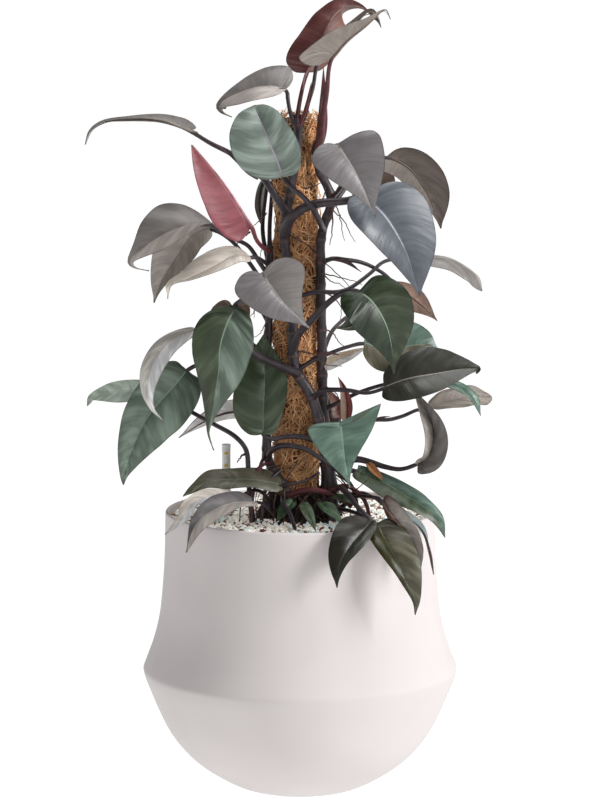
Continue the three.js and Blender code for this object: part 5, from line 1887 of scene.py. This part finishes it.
ROOT_WAYS: tuple[tuple[float, Way], ...] = (
    (1.1, ((38, -26, 744), (40, -34, 738), (41, -35, 730), (40, -34, 716), (37, -32, 699))),
    (0.9, ((44, -58, 752), (48, -44, 741), (52, -42, 725), (53, -41, 713), (56, -40, 705))),
    (1.0, ((38, -28, 746), (44, -36, 740), (51, -38, 734), (58, -38, 724), (61, -37, 716), (69, -35, 703))),
    (1.0, ((-18, -36, 714), (-11, -36, 711), (0, -36, 705), (15, -34, 695), (25, -31, 683), (38, -26, 670),
           (54, -22, 655), (65, -20, 642))),
    (1.0, ((25, -24, 672), (27, -30, 664), (41, -28, 661), (56, -26, 656), (69, -24, 653), (78, -22, 648))),
    (0.8, ((27, -30, 664), (37, -30, 655), (50, -30, 650), (58, -30, 643))),
    (1.2, ((25, -28, 752), (30, -33, 762), (32, -34, 772))),
    (1.2, ((4, -33, 770), (16, -36, 772), (26, -32, 777))),
    (1.1, ((-42, -20, 738), (-47, -34, 733), (-53, -44, 728), (-60, -56, 723))),
    (1.2, ((-62, -34, 716), (-68, -38, 712), (-77, -40, 703), (-81, -40, 690))),
    (1.0, ((-54, 16, 618), (-56, 20, 614), (-60, 20, 608), (-66, 18, 600))),
    (1.0, ((-41, -12, 602), (-46, -18, 594), (-52, -22, 585), (-60, -24, 582))),
    (1.1, ((-6, -34, 566), (6, -34, 565), (19, -34, 561), (28, -32, 550), (44, -28, 547), (53, -24, 546))),
    (1.6, ((-65, -33, 438), (-69, -34, 436), (-75, -35, 432), (-79, -35, 425))),
    (1.0, ((50, -74, 380), (60, -80, 391), (72, -86, 401), (86, -90, 414))),
    (1.0, ((30, -24, 640), (44, -14, 630), (52, -10, 616), (50, -8, 600))),
    (0.9, ((28, -14, 592), (42, -12, 586), (50, -16, 574), (62, -18, 568))),
    (0.9, ((30, -12, 520), (44, -16, 512), (50, -20, 500), (48, -22, 488))),
    (1.0, ((-42, -14, 512), (-52, -16, 504), (-58, -20, 492), (-56, -22, 478))),
    (0.9, ((-38, -15, 640), (-50, -10, 632), (-56, -6, 620), (-58, -2, 604))),
    (0.8, ((-37, -18, 700), (-46, -10, 694), (-50, -2, 684), (-48, 4, 670))),
)


@dataclass
class Undergrowth:
    """What grows between the leaves: aerial roots, sheaths, young shoots and roots at the stems' feet."""

    feet: Way = ((40, -37, 405), (33, -8, 405), (-26, -34, 402), (-40, -22, 420), (-5, -30, 398))
    foot_roots: int = 16
    root_points: int = 16
    buried_height: float = 350
    red_shoots: int = 4

    def build(self, roots: RootFinish, foliage: Foliage) -> None:
        """Makes the roots, the shoots and the sheaths."""
        self.hang_roots(roots)
        self.raise_shoots(foliage)
        blades = [foliage.blade(sheath, 60 + index) for index, sheath in enumerate(SHEATHS)]
        piece = join("leaf_sheaths", blades)
        shade_smooth(piece, 60)
        keep(piece, "leaf_red")

    def hang_roots(self, roots: RootFinish) -> None:
        """Hangs the aerial roots and sends thin roots from the stems' feet into the filling."""
        draw = np.random.default_rng(23)
        lines, radii = [], []
        for reach, points in ROOT_WAYS:
            way = Route(points)
            share = np.linspace(0, 1, self.root_points)
            shake = draw.normal(0, 0.5, (self.root_points, 3)) * np.sin(share * math.pi)[:, None]
            lines.append(way.at(share) + shake)
            radii.append(reach * (1.15 - 0.75 * share))
        for index in range(self.foot_roots):
            foot = np.array(self.feet[index % len(self.feet)]) + (0, 0, draw.uniform(-18, 30))
            turn = math.atan2(foot[1], foot[0]) + draw.normal(0, 0.8)
            run = draw.uniform(14, 44)
            out = np.array([cos(turn), sin(turn), 0])
            share = np.linspace(0, 1, self.root_points)[:, None]
            drop = foot[2] - self.buried_height
            sag = draw.uniform(0.6, 1.6)
            line = foot + out * run * np.sin(share * math.pi / 2) ** sag
            line[:, 2] -= (drop * share**1.8)[:, 0]
            line = line + draw.normal(0, 1.1, 3) * np.sin(share * 9)
            line = line + draw.normal(0, 0.35, (self.root_points, 3))
            lines.append(line)
            radii.append(draw.uniform(0.6, 1.3) * (1.1 - 0.5 * share[:, 0]))
        piece = strands("aerial_roots", lines, radii)
        dress(piece, 80, roots.material())
        keep(piece, "stem")

    def raise_shoots(self, foliage: Foliage) -> None:
        """Makes the thick young shoots that cross the root ball."""
        shoots = []
        for index, (reach, points) in enumerate(SHOOT_WAYS):
            way = Route(points)
            share = np.linspace(0, 1, 30)
            shoot = tube(f"shoot_{index}", way.at(share), reach * (1.1 - 0.35 * share), 12)
            tone = StalkTone.MAROON if index < self.red_shoots else StalkTone.DARK
            paint_points(shoot, "belly", np.tile(linear(tone.value), (len(shoot.data.vertices), 1)))
            shoots.append(shoot)
        piece = join("young_shoots", shoots)
        dress(piece, 70, foliage.skins[2])
        keep(piece, "stem")


@dataclass
class Studio:
    """A seamless white floor under soft light from the right, seen from eye height."""

    camera_place: Point = (0, -4136, 1070)
    camera_pitch: float = 82.15
    lens: float = 148.5
    floor_size: float = 240000
    key_power: float = 122
    key_place: Point = (3000, -1500, 2300)
    key_size: float = 1300
    top_power: float = 62
    top_place: Point = (300, 100, 3300)
    top_size: float = 2000
    light_target: Point = (0, 0, 500)
    air_low: float = 1.0
    air_high: float = 0.1
    air_edge: Span = (0.09, 0.2)
    paper: str = "#5c5c5c"
    paper_tooth: float = 40.0
    paper_glow: float = 0.99
    paper_roughness: float = 0.9
    white: str = "#ffffff"

    def build(self) -> None:
        """Sets up the camera, the floor, the lights and the world."""
        self.aim_camera()
        self.lay_floor()
        self.hang_light("key_light", self.key_place, self.key_power, self.key_size)
        self.hang_light("top_light", self.top_place, self.top_power, self.top_size)
        self.fill_air()
        bpy.context.scene.view_settings.view_transform = "Standard"

    def fill_air(self) -> None:
        """Makes the air white just above the floor's horizon and dim higher up."""
        world = bpy.data.worlds.new("studio_air")
        bpy.context.scene.world = world
        world.use_nodes = True
        tree = world.node_tree
        place = add_node(tree, "TexCoord")
        split = add_node(tree, "SeparateXYZ", {0: place.outputs["Generated"]})
        low, high = self.air_edge
        inputs = {0: split.outputs["Z"], 1: low, 2: high, 3: self.air_low, 4: self.air_high}
        level = add_node(tree, "MapRange", inputs, interpolation_type="SMOOTHSTEP")
        sky = tree.nodes["Background"]
        feed(tree, sky.inputs["Color"], self.white)
        feed(tree, sky.inputs["Strength"], level.outputs[0])

    def aim_camera(self) -> None:
        """Puts the camera where the picture was taken from."""
        lens = bpy.data.cameras.new("camera")
        lens.lens = self.lens
        lens.sensor_width = 36
        lens.clip_end = 300
        camera = add_object("camera", lens)
        camera.location = Vector(self.camera_place) * MM
        camera.rotation_euler = (math.radians(self.camera_pitch), 0, 0)
        bpy.context.scene.camera = camera

    def hang_light(self, name: str, place: Point, power: float, size: float) -> None:
        """Hangs a square soft box that faces the plant."""
        lamp = bpy.data.lights.new(name, "AREA")
        lamp.energy = power
        lamp.size = size * MM
        light = add_object(name, lamp)
        light.location = Vector(place) * MM
        target = Vector(self.light_target) * MM
        light.rotation_euler = (target - light.location).to_track_quat("-Z", "Y").to_euler()

    def lay_floor(self) -> None:
        """Lays the floor, which glows a little so that only a trace of shadow shows on it."""
        rest_selection()
        bpy.ops.mesh.primitive_plane_add(size=self.floor_size * MM, location=(0, 0, 0))
        floor = bpy.context.object
        floor.name = "studio_floor"
        paper = Recipe("white_paper")
        tooth = paper.remap(paper.noise(self.paper_tooth, 2.0), WIDE, (0.97, 1.0))
        color = paper.adjust(self.paper, tooth)
        glow = {"Emission_Color": self.white, "Emission_Strength": self.paper_glow}
        wear(floor, paper.finish(color, Roughness=self.paper_roughness, **glow))


def main() -> None:
    """Builds the plant, its pot and the studio around the frame."""
    logging.basicConfig(level=logging.INFO, format="%(name)s %(message)s")
    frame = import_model()
    nodes = frame["nodes"]
    roots = RootFinish()
    Studio().build()
    Planter().build(PotFinish())
    Filling().build(GravelFinish(), nodes["gravel_filling"])
    RootBall().build(PeatFinish(), roots)
    CoirPole().build(CoirFinish(), WoodFinish(), nodes["pole_stake"])
    WaterGauge().build()
    Stems().build(StemFinish())
    foliage = Foliage()
    foliage.build(LEAVES)
    Undergrowth().build(roots, foliage)


if __name__ == "__main__":
    main()
